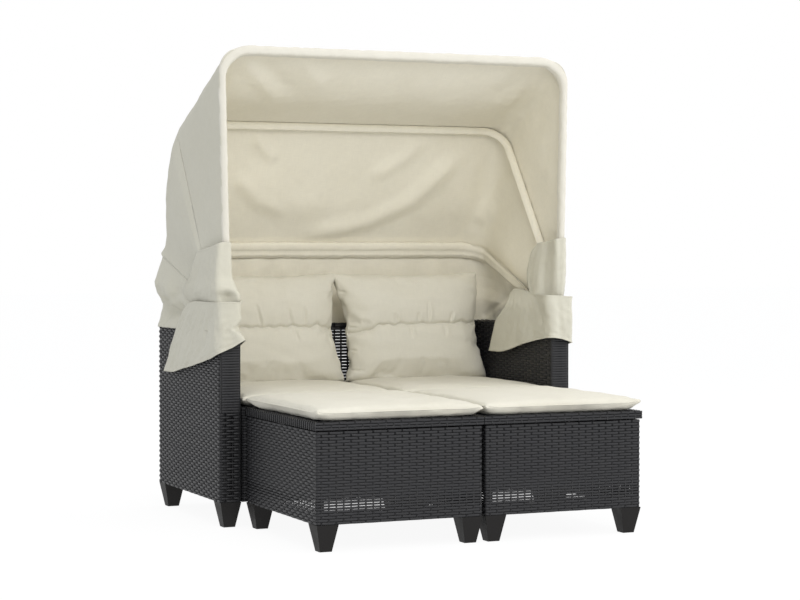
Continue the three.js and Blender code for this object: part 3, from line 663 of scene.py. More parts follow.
def closed_form(top, under):
    """A closed mesh between two grids that share their rim."""
    rows, columns = top.shape[:2]
    count = rows * columns
    faces = grid_faces(rows, columns)
    edge, after = rim_of(rows, columns)
    rim = quads(edge + count, after + count, after, edge)
    points = np.concatenate([top.reshape(-1, 3), under.reshape(-1, 3)])
    return points, np.concatenate([faces, faces[:, ::-1] + count, rim])


def only(obj):
    bpy.ops.object.select_all(action="DESELECT")
    obj.select_set(True)
    bpy.context.view_layer.objects.active = obj


def apply_modifier(obj, kind, **settings):
    """Adds a modifier and applies it."""
    only(obj)
    made = obj.modifiers.new("made", kind)
    for key, value in settings.items():
        setattr(made, key, value)
    bpy.ops.object.modifier_apply(modifier="made")


def places(obj):
    flat = np.empty(len(obj.data.vertices) * 3, np.float32)
    obj.data.vertices.foreach_get("co", flat)
    return flat.reshape(-1, 3).astype(float)


def move_to(obj, points):
    obj.data.vertices.foreach_set("co", np.asarray(points, np.float32).ravel())
    obj.data.update()


FRAMES = 18


def inflate(obj, pressure, cap, give, shrink):
    """Blows the closed cloth up like filling, then caps how far its points may move. give is the
    share of each direction's move that the seams let through."""
    start = places(obj)
    only(obj)
    modifier = obj.modifiers.new("fill", "CLOTH")
    s = modifier.settings
    s.quality, s.mass, s.air_damping = 5, 0.25, 3.0
    s.tension_stiffness = s.compression_stiffness = 18
    s.shear_stiffness, s.bending_stiffness = 8, 0.4
    s.use_pressure, s.uniform_pressure_force = True, pressure
    s.shrink_min = shrink
    s.effector_weights.gravity = 0
    modifier.collision_settings.use_collision = False
    modifier.collision_settings.use_self_collision = False
    modifier.point_cache.frame_start, modifier.point_cache.frame_end = 1, FRAMES
    for number in range(1, FRAMES + 1):
        bpy.context.scene.frame_set(number)
    moved = places(obj.evaluated_get(bpy.context.evaluated_depsgraph_get()))
    obj.modifiers.remove(modifier)
    bpy.context.scene.frame_set(1)
    d = moved - start
    d = (d - d.mean(0)) * give
    far = np.linalg.norm(d, axis=1, keepdims=True)
    move_to(obj, start + d * np.minimum(1, cap / np.maximum(far, 1e-9)))


def side_uv(obj):
    """Weave coordinates in metres from the side that each face looks to most."""
    data = obj.data
    co = places(obj)
    loops = np.empty(len(data.loops), np.int32)
    data.loops.foreach_get("vertex_index", loops)
    faces = np.empty(len(data.polygons) * 3, np.float32)
    data.polygons.foreach_get("normal", faces)
    total = np.empty(len(data.polygons), np.int32)
    data.polygons.foreach_get("loop_total", total)
    axis = np.repeat(np.abs(faces.reshape(-1, 3)).argmax(1), total)
    pairs = np.array([[1, 2], [0, 2], [0, 1]])[axis]
    uv = co[loops[:, None], pairs]
    layer = data.uv_layers.get("Weave") or data.uv_layers.new(name="Weave")
    layer.data.foreach_set("uv", uv.astype(np.float32).ravel())


def eased(count):
    return (1 - np.cos(np.pi * np.arange(count) / (count - 1))) / 2


def shape_points(obj, change):
    points = places(obj) - OFFSET
    move_to(obj, change(points) + OFFSET)


PIPING, SEARCH = 0.0019, 0.08  # radius, and how far outside the search for the surface starts


def piping(name, obj, points, out):
    """A seam's piped edge on a padded piece: a fine tube laid on its surface at points that are
    searched for from outside."""
    surface = BVHTree.FromPolygons(
        [tuple(p) for p in places(obj)], [tuple(f.vertices) for f in obj.data.polygons]
    )
    on = []
    for p, way in zip(points + OFFSET, out):
        hit = surface.ray_cast(Vector(p + way * SEARCH), Vector(-way))[0]
        on.append(np.array(hit if hit is not None else p) - OFFSET)
    on = np.array(on)
    for _ in range(2):
        on = (np.roll(on, 1, 0) + 2 * on + np.roll(on, -1, 0)) / 4
    way = unit(np.roll(on, -1, 0) - np.roll(on, 1, 0))
    out = square(out, way)
    third = np.cross(way, out)
    n, sides = len(on), 8
    angle = (2 * np.pi * np.arange(sides) / sides)[None, :, None]
    ring = on[:, None] + PIPING * (out[:, None] * np.cos(angle) + third[:, None] * np.sin(angle))
    i, k = np.meshgrid(np.arange(n), np.arange(sides), indexing="ij")
    j, m = (i + 1) % n, (k + 1) % sides
    faces = quads(i * sides + k, j * sides + k, j * sides + m, i * sides + m)
    piece = build(name, ring.reshape(-1, 3), faces, [CUSHION])
    side_uv(piece)
    face_out(piece)
    return piece


SEAM = 0.023  # height of a seat pad's seam
CROWN_SLACK = 0.003  # what its crown leaves for the filling to rise
DRAWN_IN = 0.010  # how far its sides curve in


def seat_pad(cad, body, seed, tips):
    """A thin crowned pad of two panels with one seam round it and corner tips pulled up by tips."""
    low, high = node_box(cad)
    width, depth, crown = high - low
    middle = (low + high) / 2
    base = (middle[0], middle[1], low[2])

    def outline(side, end):
        x = side * (width / 2 - DRAWN_IN * (1 - np.abs(end) ** 2.6) * side**2)
        return x, end * (depth / 2 - DRAWN_IN * (1 - np.abs(side) ** 2.6) * end**2)

    share = eased(60)
    u, v = np.meshgrid(share, share)
    side, end = 2 * u - 1, 2 * v - 1
    rise = np.sqrt(np.clip((1 - np.abs(side) ** 5) * (1 - np.abs(end) ** 5), 0, 1))
    top = np.stack([*outline(side, end), SEAM + (crown - CROWN_SLACK - SEAM) * rise**1.05], -1)
    under = np.stack([*outline(side, end), SEAM * (1 - rise**0.45)], -1)
    points, faces = closed_form(top, under)
    obj = build(f"{cad}_looks", points + base, faces, [CUSHION])
    apply_modifier(obj, "REMESH", mode="VOXEL", voxel_size=0.0065, use_smooth_shade=True)
    inflate(obj, 2.2, 0.006, (0.4, 0.4, 1), -0.03)

    def settle(p):
        q = (p - base) / (width / 2, depth / 2, crown)
        edge = smooth(np.maximum(np.abs(q[:, 0]), np.abs(q[:, 1])), 0.72, 1.0)
        p = p.copy()
        p[:, 2] += edge * 0.0012 * waves(p[:, :2], 0.09, seed)
        p[:, 2] += (1 - edge) * 0.0014 * waves(p[:, :2], 0.16, seed + 1)
        corner = smooth(np.abs(q[:, 0]) * np.abs(q[:, 1]), 0.8, 1.0)
        p[:, 2] += corner * tips
        beside = smooth(low[2] + SEAM - p[:, 2], 0.001, 0.008) * edge
        p[:, :2] -= unit(p[:, :2] - middle[:2]) * (0.006 * beside)[:, None]
        p[:, 2] = np.clip(p[:, 2], low[2] + 0.0003, high[2] + 0.004)
        return p

    shape_points(obj, settle)
    side_uv(obj)
    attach(obj, body)
    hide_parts(cad)
    t = np.linspace(-1, 1, 60)[:-1]
    one = np.ones(len(t))
    side, end = np.concatenate([t, one, -t, -one]), np.concatenate([-one, t, one, -t])
    x, y = outline(side, end)
    height = SEAM + low[2] + tips * smooth(np.abs(side * end), 0.8, 1.0)
    line = np.stack([x + middle[0], y + middle[1], height], -1)
    seam = piping(f"{cad}_looks_seam", obj, line, unit(np.stack([side**9, end**9, 0 * x], -1)))
    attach(seam, body)


seat_pad("seat_cushion_left", "sofa", 11, 0.002)
seat_pad("seat_cushion_right", "sofa", 12, 0.002)
seat_pad("stool_cushion_left", "stool_left_body", 13, 0.004)
seat_pad("stool_cushion_right", "stool_right_body", 14, 0.006)

LEAN = 0.034  # how far a back cushion's top lies behind its foot


def back_pad(cad, seed, left, right, crease, tucks):
    """An upright pillow with pointed corners and one sewn channel across its front. left and right
    are its edges and crease its channel, as (height, x) and (x, height); tucks are short level
    creases in from an edge, as (height, which edge, length)."""
    low, high = node_box(cad)
    _, thick, tall = high - low
    thick = thick - LEAN
    u, v = np.meshgrid(eased(76), eased(70))
    side, end = 2 * u - 1, 2 * v - 1
    z = low[2] - 0.006 + (tall - 0.005) * v
    from_left, from_right = np.interp(z, *zip(*left)), np.interp(z, *zip(*right))
    x = from_left + (from_right - from_left) * u
    z = z - 0.013 * (1 - side**2) * v**8
    at_end = np.where(end > 0, np.abs(end) ** 3.6, np.abs(end) ** 9)
    rise = np.sqrt(np.clip((1 - np.abs(side) ** 4.5) * (1 - at_end), 0, 1))
    reach = thick / 2 * rise**0.9
    middle = low[1] + thick / 2 + LEAN * v
    points, faces = closed_form(np.stack([x, middle - reach, z], -1), np.stack([x, middle + reach, z], -1))
    obj = build(f"{cad}_looks", points, faces, [CUSHION])
    apply_modifier(obj, "REMESH", mode="VOXEL", voxel_size=0.0062, use_smooth_shade=True)
    inflate(obj, 2.4, 0.012, (0.3, 1, 0.35), -0.05)
    apply_modifier(obj, "SUBSURF", levels=1)
    a, b = np.array(crease).T
    random = np.random.default_rng(seed)
    darts = []
    for up in (1, 1, 1, 1, -1, -1):
        at, tilt = random.uniform(a[0] + 0.04, a[-1] - 0.04), random.uniform(-0.35, 0.35)
        darts.append((at, tilt, up, random.uniform(0.04, 0.08)))

    def sew(p):
        p = p.copy()
        share = (p[:, 2] - low[2]) / tall
        facing = smooth(low[1] + thick / 2 + LEAN * share - p[:, 1], 0.004, 0.02)
        line = np.interp(p[:, 0], a, b) + 0.0022 * waves(p[:, :1], 0.06, seed + 4)
        above = p[:, 2] - line
        p[:, 1] += facing * (0.012 * np.exp(-np.abs(above / 0.0048) ** 1.1) + 0.006 * bell(above / 0.03))
        for at, tilt, up, long in darts:
            along = np.clip(above * up / long, 0, 1)
            off = (p[:, 0] - at - tilt * above) / 0.0058
            p[:, 1] += facing * 0.0042 * (bell(off) - 0.7 * bell(off - 1.7)) * np.sin(np.pi * along) ** 0.8
        l, r = np.interp(p[:, 2], *zip(*left)), np.interp(p[:, 2], *zip(*right))
        across = np.clip(np.abs(2 * (p[:, 0] - l) / (r - l) - 1), 0, 1)
        for height, edge, long in tucks:
            inward = (p[:, 0] - l if edge == 0 else r - p[:, 0]) / long
            p[:, 1] += facing * 0.008 * bell((p[:, 2] - height) / 0.0034) * (1 - smooth(inward, 0.35, 1.0))
        rough = smooth(across, 0.7, 1.0)
        near_top = smooth(share, 0.8, 1.0)
        p[:, 1] += 0.0019 * waves(p * (1, 0.3, 2.0), 0.10, seed) * (0.4 + rough + 0.7 * near_top)
        p[:, 0] += 0.0022 * waves(p[:, 1:], 0.05, seed + 2) * rough
        p[:, 2] += 0.0016 * waves(p[:, :2], 0.06, seed + 3) * near_top
        return p

    shape_points(obj, sew)
    side_uv(obj)
    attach(obj, "sofa")
    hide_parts(cad)


back_pad(
    "back_cushion_left", 21,
    [(0.40, -0.520), (0.6, -0.522), (0.78, -0.525)],
    [(0.400, -0.001), (0.435, -0.012), (0.492, -0.028), (0.544, -0.038), (0.581, -0.043),
     (0.636, -0.039), (0.71, -0.036), (0.757, -0.022), (0.78, -0.016)],
    [(-0.52, 0.587), (-0.363, 0.588), (-0.279, 0.586), (-0.20, 0.590), (-0.159, 0.585),
     (-0.105, 0.591), (-0.067, 0.580), (-0.03, 0.577)],
    [(0.572, 1, 0.045), (0.700, 1, 0.02)],
)
back_pad(
    "back_cushion_right", 22,
    [(0.400, 0.004), (0.445, 0.023), (0.503, 0.020), (0.56, 0.014), (0.595, 0.017),
     (0.635, 0.009), (0.692, -0.010), (0.75, -0.030), (0.78, -0.037)],
    [(0.400, 0.523), (0.517, 0.490), (0.578, 0.486), (0.646, 0.490), (0.705, 0.497), (0.765, 0.500),
     (0.78, 0.500)],
    [(-0.01, 0.563), (0.05, 0.564), (0.075, 0.571), (0.112, 0.589), (0.225, 0.590), (0.36, 0.591),
     (0.424, 0.594), (0.47, 0.590)],
    [(0.581, 0, 0.03), (0.561, 0, 0.04), (0.504, 0, 0.02), (0.437, 0, 0.045), (0.70, 0, 0.02),
     (0.584, 1, 0.03)],
)


# Canopy: hoops' lines

PIVOT_Y, PIVOT_Z = 0.017, 0.63
TOP_BAR_X = 0.583
STRAIGHT = 0.024  # how far a leg runs from the pivot before it leans
FOOT = 0.07  # where the cloth starts on a leg
SPAN_LINE, SLEEVE_LINE, CURTAIN_LINE = (FOOT, 56, 14, 52), (FOOT, 60, 18, 60), (FOOT, 70, 20, 60)


class Hoop:
    """A bent hoop: two legs and a top bar, tilted back by tilt degrees."""

    def __init__(self, leg_x, length, corner, tilt):
        self.leg_x, self.length, self.corner = leg_x, length, corner
        self.tilt = math.radians(tilt)
        self.forward = np.array([0, -math.cos(self.tilt), math.sin(self.tilt)])
        self.leg_top, self.half_bar = length - corner, TOP_BAR_X - corner

    def line(self, start, legs, corners, bar):
        """Middle line and outward directions, from the right leg at radius start to the left, with
        so many points on a leg, a corner and half the bar."""
        r = np.linspace(start, self.leg_top, legs)
        lean = np.maximum(r - STRAIGHT, 0) / (self.leg_top - STRAIGHT)
        angle = np.linspace(0, np.pi / 2, corners + 1)[1:]
        side, up = np.cos(angle), np.sin(angle)
        parts = (
            (self.leg_x + (TOP_BAR_X - self.leg_x) * lean, self.half_bar + self.corner * side,
             np.linspace(self.half_bar, 0, bar + 1)[1:]),
            (r, self.leg_top + self.corner * up, np.full(bar, self.length)),
            (np.ones(legs), side, np.zeros(bar)),
            (np.zeros(legs), up, np.ones(bar)),
        )
        halves = (np.concatenate(part) for part in parts)
        x, far, side, up = (np.append(a, sign * a[-2::-1]) for a, sign in zip(halves, (-1, 1, -1, 1)))
        back, rise = math.sin(self.tilt), math.cos(self.tilt)
        line = np.stack([x, PIVOT_Y + far * back, PIVOT_Z + far * rise], -1)
        return line, np.stack([side, up * back, up * rise], -1)


FRONT_HOOP = Hoop(0.568, 0.816, 0.088, 0)
MIDDLE_HOOP = Hoop(0.590, 0.762, 0.084, 35.7)
REAR_HOOP = Hoop(0.546, 0.680, 0.084, 72)
WRAP, WRAP_ROWS = 0.0104, 3  # from a tube's middle to the cloth on it, and rows laid round it


def folded(grid, *folds):
    """Pushes a grid out along its normals in ridges over lines given in the photograph. A fold is
    (line, width in pixels, height) and at times the share of its line over which each end fades."""
    normal = normals_of(grid)
    for line, width, height, *fade in folds:
        fade = fade[0] if fade else 0.25
        at = pixel(grid.reshape(-1, 3))
        line = np.asarray(line, float)
        best, where = np.full(len(at), 1e9), np.zeros(len(at))
        pieces = steps_of(line)
        total, before = pieces.sum(), 0.0
        for a, b, long in zip(line[:-1], line[1:], pieces):
            t = np.clip(((at - a) @ (b - a)) / long**2, 0, 1)
            far = np.linalg.norm(at - a - t[:, None] * (b - a), axis=1)
            near = far < best
            best = np.where(near, far, best)
            where = np.where(near, (before + t * long) / total, where)
            before += long
        strength = bell(best / width) * smooth(where, 0, fade) * (1 - smooth(where, 1 - fade, 1))
        grid = grid + normal * (height * strength).reshape(grid.shape[:2])[..., None]
    return grid


def turned(centre, begin, end):
    """Rows that wrap a tube from one direction to another, without the last one."""
    shares = np.arange(WRAP_ROWS) / WRAP_ROWS
    return [centre + unit(begin * (1 - t) + end * t) * WRAP for t in shares]


def leaving(first, second):
    """Two hoops' lines and outward directions, and where cloth leaves the first one's tube and
    lands on the second's."""
    (a, a_out), (b, b_out) = first.line(*SPAN_LINE), second.line(*SPAN_LINE)
    chord = unit(b - a)
    return a, b, a_out, b_out, square(a_out, chord), square(b_out, chord)


def at_corners(side):
    """1 at the middle of a hoop's bent corners and 0 on its legs and bar."""
    return np.clip(4 * side**2 * (1 - side**2), 0, 1)


def between(count):
    """The share of the way from hoop to hoop of a span's rows, 0 and 1 for those round the tubes."""
    return np.clip((np.arange(count) - WRAP_ROWS) / (count - 2 * WRAP_ROWS - 1), 0, 1)


SPAN_ROWS = 46
FULLER = 0.010  # how much further out the cloth lies at the hoops' bent corners


def span(first, second, sag, side_sag, before, after):
    """Cloth between two hoops, with rows that wrap their tubes from and to given directions.
    Columns run round the hoops from right to left."""
    a, b, a_out, b_out, leave, land = leaving(first, second)
    begin, end = a + leave * WRAP, b + land * WRAP
    outwards = unit(leave + land)
    turn = between(SPAN_ROWS + 2 * WRAP_ROWS)[:, None, None]
    away = unit(before[None] * (1 - turn) + after[None] * turn)
    gather = np.linalg.norm(end - begin, axis=-1) / (first.length + second.length)
    flat = 1 - np.clip(np.abs(a_out[:, 0]), 0, 1)
    share_of_sag = smooth(flat, 0.2, 1.0) + side_sag * (1 - smooth(flat, 0, 0.5))
    s = np.linspace(0, 1, SPAN_ROWS)[:, None, None]
    sink = sag * gather[None, :, None] * np.sin(np.pi * s) ** 2 * share_of_sag[None, :, None]
    rows = begin[None] * (1 - s) + end[None] * s - outwards[None] * sink
    made = np.concatenate([turned(a, before, leave), rows, turned(b, after, land)[::-1]])
    return made + away * (FULLER * at_corners(a_out[:, 0]))[:, None]


def wrinkled(grid, seed):
    """Soft unevenness of cloth that hangs free between its hoops."""
    free = (np.sin(np.pi * between(len(grid))) ** 0.6)[:, None]
    push = free * (0.0018 * waves(grid, 0.22, seed) + 0.0006 * waves(grid, 0.06, seed + 1))
    return grid + normals_of(grid) * push[..., None]


_, _, front_out, _, _, roof_land = leaving(FRONT_HOOP, MIDDLE_HOOP)
_, _, _, rear_out, panel_leave, _ = leaving(MIDDLE_HOOP, REAR_HOOP)
over_middle = unit(roof_land + panel_leave)
roof = span(FRONT_HOOP, MIDDLE_HOOP, 0.084, 0.12, unit(front_out + 0.6 * FRONT_HOOP.forward), over_middle)
roof = folded(
    wrinkled(roof, 41),
    ([(240, 58), (257, 78), (282, 104)], 7, 0.006),
    ([(258, 56), (278, 78), (304, 100)], 8, -0.005),
    ([(300, 60), (312, 74), (326, 88)], 8, 0.005),
    ([(530, 67), (512, 84), (490, 102)], 8, -0.007),
    ([(545, 78), (522, 104), (508, 122)], 7, 0.006),
    ([(549, 100), (535, 130), (528, 160)], 7, -0.005),
)
panel = span(MIDDLE_HOOP, REAR_HOOP, 0.040, 0.1, over_middle, rear_out)
swell = np.interp(
    between(len(panel)), [0, 0.12, 0.3, 0.45, 0.7, 0.85, 0.95, 1],
    [0, 0.011, 0.016, 0.014, 0.003, -0.009, -0.010, 0],
)
beside = np.sign(panel[..., 0]) * smooth(np.abs(panel[..., 0]), 0.50, 0.58)
high_up = smooth(panel[..., 2], 0.74, 0.86)
panel[..., 0] += beside * high_up * swell[:, None] * np.where(panel[..., 0] < 0, 1.0, 0.6)
panel = folded(
    wrinkled(panel, 43),
    ([(474, 141), (447, 167), (411, 200), (366, 221), (322, 231), (284, 236)], 8, 0.016),
    ([(428, 137), (400, 160), (366, 180)], 7, 0.011),
    ([(513, 177), (492, 205), (475, 226)], 7, 0.010),
    ([(495, 200), (480, 222), (467, 240)], 6, 0.004),
    ([(253, 134), (264, 148), (278, 162)], 7, 0.011),
    ([(232, 172), (258, 200), (290, 214)], 8, 0.009),
    ([(240, 165), (275, 195), (330, 212)], 16, 0.008),
)


roof_piece = cloth("canopy_roof_looks", (roof[:, ::-1], CLOTH_THICK))
panel_piece = cloth("canopy_back_looks", (panel[:, ::-1], CLOTH_THICK))
for piece, first, second, bodies, node in (
    (roof_piece, FRONT_HOOP, MIDDLE_HOOP, ("front_hoop_body", "middle_hoop_body"), "canopy_roof"),
    (panel_piece, MIDDLE_HOOP, REAR_HOOP, ("middle_hoop_body", "rear_hoop_body"), "canopy_back"),
):
    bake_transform(piece)
    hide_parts(node)


# Sleeves: the canopy's casings round the hoops, each with its stitched hem

TUBE_AND_CLOTH = 0.0085  # how far a casing may reach where it lies against the cloth outside


def sleeve(
    name, hoop, body, way_in, up, tail, thick, seed, material,
    groove=0.0, corner=0.0, top=0.0, hide=None, lower=None, slip=0.0, inner=1.0,
):
    """A casing with a flat hem. way_in gives the hem's direction along the hoop, and lower another
    one for the half with the hem; up and tail are how far the casing reaches from the tube's middle
    away from the hem and along it. Where it lies against the cloth outside, on the side that hide
    points to, it is only as thick as the tube."""
    line, out = hoop.line(*SLEEVE_LINE)
    along = unit(np.gradient(line, axis=0))
    hem = square(way_in(line, out), along)
    side = unit(np.cross(along, hem))
    count = 28
    angle = 2 * np.pi * np.arange(count) / count
    c, sn = np.cos(angle), np.sin(angle)
    a = np.where(c > 0, tail * np.abs(c) ** 0.8, -up * np.abs(c))
    depth = thick * np.abs(sn) ** 0.75 * (1 - 0.62 * smooth(a, 0.010, tail))
    depth = depth - groove * bell(a / 0.0030) * (np.abs(sn) > 0.5)
    b = np.where(sn > 0, np.minimum(depth, inner), -depth)
    pucker = 0.0007 * waves(line[:, None] + 0.012 * np.stack([c, sn, c * sn], -1)[None], 0.04, seed)
    other = hem if lower is None else lower(line, out)
    ways = np.where((a > 0)[None, :, None], other[:, None], hem[:, None])
    ring = line[:, None] + ways * (a[None] + pucker)[..., None]
    ring = ring + side[:, None] * (b[None] + pucker)[..., None]
    away = ((ring - line[:, None]) * out[:, None]).sum(-1)
    flat_top = smooth(1 - np.abs(out[:, :1]), 0.5, 1.0)
    fuller = smooth(away, -0.002, 0.008) * (corner * at_corners(out[:, :1]) + top * flat_top)
    ring = ring + out[:, None] * fuller[..., None]
    for cloth_way in hide(line, out) if hide else []:
        facing = ((ring - line[:, None]) * cloth_way[:, None]).sum(-1)
        limit = TUBE_AND_CLOTH - slip * smooth(-a, 0.008, 0.026)[None] * smooth(np.abs(out[:, :1]), 0.2, 0.7)
        ring = ring - cloth_way[:, None] * np.maximum(facing - limit, 0)[..., None]
    faces = grid_faces(len(line), count, closed=True)
    far, step = running(steps_of(line)), 2 * (up + tail) / count
    i, k = np.divmod(np.arange(len(faces)), count)
    corners = ((0, 0), (0, 1), (1, 1), (1, 0))
    uv = np.stack([np.stack([far[i + down], (k + right) * step], -1) for down, right in corners], 1)
    obj = build(name, ring.reshape(-1, 3), faces, [material], None, uv)
    face_out(obj)
    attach(obj, body)


def towards(hoop, share_in):
    """Ways along the cloth that leads to another hoop, turned inwards by that share."""
    def way(line, out):
        chord = unit(hoop.line(*SLEEVE_LINE)[0] - line)
        chord = unit(chord - out * (chord * out).sum(-1, keepdims=True) * 0.4)
        return unit(chord * (1 - share_in) - out * share_in)
    return way


def inwards(line, out):
    return -out


def outside_of(*hoops):
    """Away from the canopy's inside, square to the cloth that reaches a hoop from each other one."""
    def ways(line, out):
        return [square(out, unit(hoop.line(*SLEEVE_LINE)[0] - line)) for hoop in hoops]
    return ways


HEM_X, HEM_Y, HEM_Z = 0.603, 0.646, 0.590  # the curtain's hem: its sides, its back and its height


def curtain_hem(line, out):
    """Where the curtain's hem lies under a point of the rear hoop."""
    away = np.abs(out[:, 0])
    behind = np.sqrt(np.clip(1 - away**2, 0, 1))
    half_bar = REAR_HOOP.half_bar
    leg_end = PIVOT_Y + REAR_HOOP.leg_top * math.sin(REAR_HOOP.tilt)
    x = np.clip(line[:, 0], -half_bar, half_bar) + np.sign(line[:, 0]) * (HEM_X - half_bar) * away**0.6
    y = np.minimum(line[:, 1], leg_end) + (HEM_Y - leg_end) * behind**0.6
    return np.stack([x, y, HEM_Z - 0.010 * smooth(behind, 0.6, 1.0)], -1)


def curtain_fall(line, out):
    """From the rear hoop straight to the curtain's hem."""
    return unit(curtain_hem(line, out) - line)


def outside_of_rear(line, out):
    """Away from the rear panel's inside and from the curtain's."""
    way = unit(np.cross(unit(np.gradient(line, axis=0)), curtain_fall(line, out)))
    way = way * np.sign((way * out).sum(-1, keepdims=True) + 1e-9)
    return outside_of(MIDDLE_HOOP)(line, out) + [way]


def up_band(line, out):
    """Down along the rear panel, square to the rear hoop."""
    band = np.cross(unit(np.gradient(line, axis=0)), outside_of(MIDDLE_HOOP)(line, out)[0])
    return band * np.sign((band * (0, 0, -1)).sum(-1, keepdims=True) + 1e-9)


# The front casing takes the lighter hem colour, painted light for its lit front.
sleeve(
    "front_hoop_sleeve", FRONT_HOOP, "front_hoop_body", towards(MIDDLE_HOOP, 0.12),
    0.0112, 0.024, 0.0112, 51, CANOPY_HEM_PAINTED_LIGHT, corner=0.010, top=0.006, inner=0.0108,
)
# The middle and rear casings take the inside colour, with its painted light.
sleeve(
    "middle_hoop_sleeve", MIDDLE_HOOP, "middle_hoop_body", inwards,
    0.0090, 0.0175, 0.0118, 52, CANOPY_IN_PAINTED_LIGHT, hide=outside_of(FRONT_HOOP, REAR_HOOP),
)
sleeve(
    "rear_hoop_sleeve", REAR_HOOP, "rear_hoop_body", up_band,
    0.0280, 0.0270, 0.0142, 53, CANOPY_IN_PAINTED_LIGHT, 0.0036, hide=outside_of_rear, lower=curtain_fall, slip=0.018,
)


# Skirts round the arms' fronts: a cuff that comes down from the front hoop and a flap under it.
# Columns run from the outer side's rear edge round the front to the inner side's rear edge.


def placed(kinds, rows):
    """Control points from a table. A column's kind is x or y where its triples are an x or y and a
    place in the photograph on the plane there, and - where they are x, y and z."""
    def place(kind, triple):
        return triple if kind == "-" else seen(*triple[1:], **{kind: triple[0]})
    return [[place(*pair) for pair in zip(kinds, row)] for row in rows]


LEFT_CUFF = placed("xxxyyy---", [
    [(-.604, 198, 250.8), (-.604, 206, 248.2), (-.605, 212.5, 246), (.002, 218, 243.5), (-.001, 224, 242),
     (.003, 230.6, 242.5), (-.557, .03, .862), (-.553, .09, .852), (-.548, .15, .84)],
    [(-.606, 193.5, 262), (-.605, 203, 263), (-.608, 211.5, 263), (0, 217, 263), (-.004, 224, 263),
     (.001, 231, 262.5), (-.556, .03, .80), (-.55, .09, .79), (-.544, .15, .775)],
    [(-.606, 189.6, 276.6), (-.603, 200, 277), (-.610, 210, 278), (-.003, 216, 278), (-.007, 224, 278),
     (0, 231.5, 277), (-.552, .03, .757), (-.546, .09, .75), (-.54, .15, .735)],
    [(-.606, 184.6, 287), (-.606, 197, 288.5), (-.614, 208, 289.5), (-.012, 215, 289.5),
     (-.021, 224.5, 288.5), (-.012, 234.8, 287.6), (-.535, .03, .722), (-.532, .09, .72), (-.53, .15, .705)],
    [(-.602, 184.2, 294), (-.602, 196, 296), (-.606, 207, 298), (-.003, 216.5, 298), (.001, 227, 296),
     (-.016, 238.7, 297), (-.522, .03, .70), (-.522, .09, .70), (-.524, .15, .69)],
    [(-.590, 190, 303), (-.594, 197, 305), (-.596, 207, 307), (-.002, 217.5, 307), (-.001, 227, 307),
     (-.004, 236, 306), (-.528, .03, .67), (-.526, .09, .672), (-.525, .15, .67)],
])
LEFT_FLAP = placed("xxxxxyyy----", [
    [(-.602, 188, 304), (-.609, 195, 301.3), (-.6105, 202, 301.6), (-.611, 209, 302), (-.611, 214.8, 302.2),
     (-.016, 219.5, 302.2), (-.027, 229, 301.9), (-.021, 238.9, 302), (-.521, .03, .688), (-.516, .12, .684),
     (-.513, .21, .676), (-.515, .27, .662)],
    [(-.602, 183, 311), (-.609, 191.5, 311.5), (-.611, 199.5, 312), (-.611, 207.5, 312.3),
     (-.610, 214.3, 312.5), (-.014, 219.2, 312.7), (-.022, 227.5, 311.5), (-.018, 239.5, 311),
     (-.527, .03, .655), (-.518, .12, .65), (-.515, .21, .645), (-.517, .30, .635)],
    [(-.603, 179.5, 320), (-.607, 188, 321), (-.610, 197, 322), (-.608, 206, 323), (-.610, 214, 324),
     (-.012, 219, 323.5), (-.020, 226.5, 321.5), (-.014, 240.3, 320), (-.528, .03, .628), (-.519, .12, .625),
     (-.515, .22, .618), (-.516, .33, .61)],
    [(-.604, 176, 329), (-.606, 184.5, 331), (-.608, 194, 333), (-.609, 204, 334.5), (-.610, 213.5, 335.5),
     (-.006, 219.2, 334.5), (-.017, 228, 330.5), (-.014, 235.2, 328.8), (-.527, .03, .605),
     (-.518, .12, .595), (-.513, .23, .585), (-.515, .36, .575)],
    [(-.604, 171.5, 344), (-.606, 179.5, 347), (-.608, 190, 348), (-.609, 201.5, 347.5),
     (-.610, 212.5, 346), (-.006, 219.3, 344.2), (-.017, 231, 338.5), (-.022, 238.8, 332.5),
     (-.520, .03, .58), (-.515, .13, .565), (-.513, .25, .55), (-.515, .39, .535)],
    [(-.604, 168, 358), (-.606, 176.5, 359.5), (-.608, 186, 359), (-.609, 198, 356), (-.610, 211.3, 352),
     (-.005, 219.4, 349.8), (-.016, 232.2, 343.4), (-.023, 242.6, 336.4), (-.517, .03, .566),
     (-.514, .14, .543), (-.512, .26, .523), (-.514, .42, .51)],
    [(-.604, 164.6, 371), (-.606, 173.3, 371.8), (-.608, 181.5, 368.8), (-.609, 193.4, 365.3),
     (-.609, 208.5, 359.4), (-.005, 219.5, 353.6), (-.015, 232.7, 347.4), (-.024, 245.4, 340),
     (-.5165, .04, .552), (-.5145, .15, .52), (-.512, .27, .496), (-.514, .456, .484)],
])
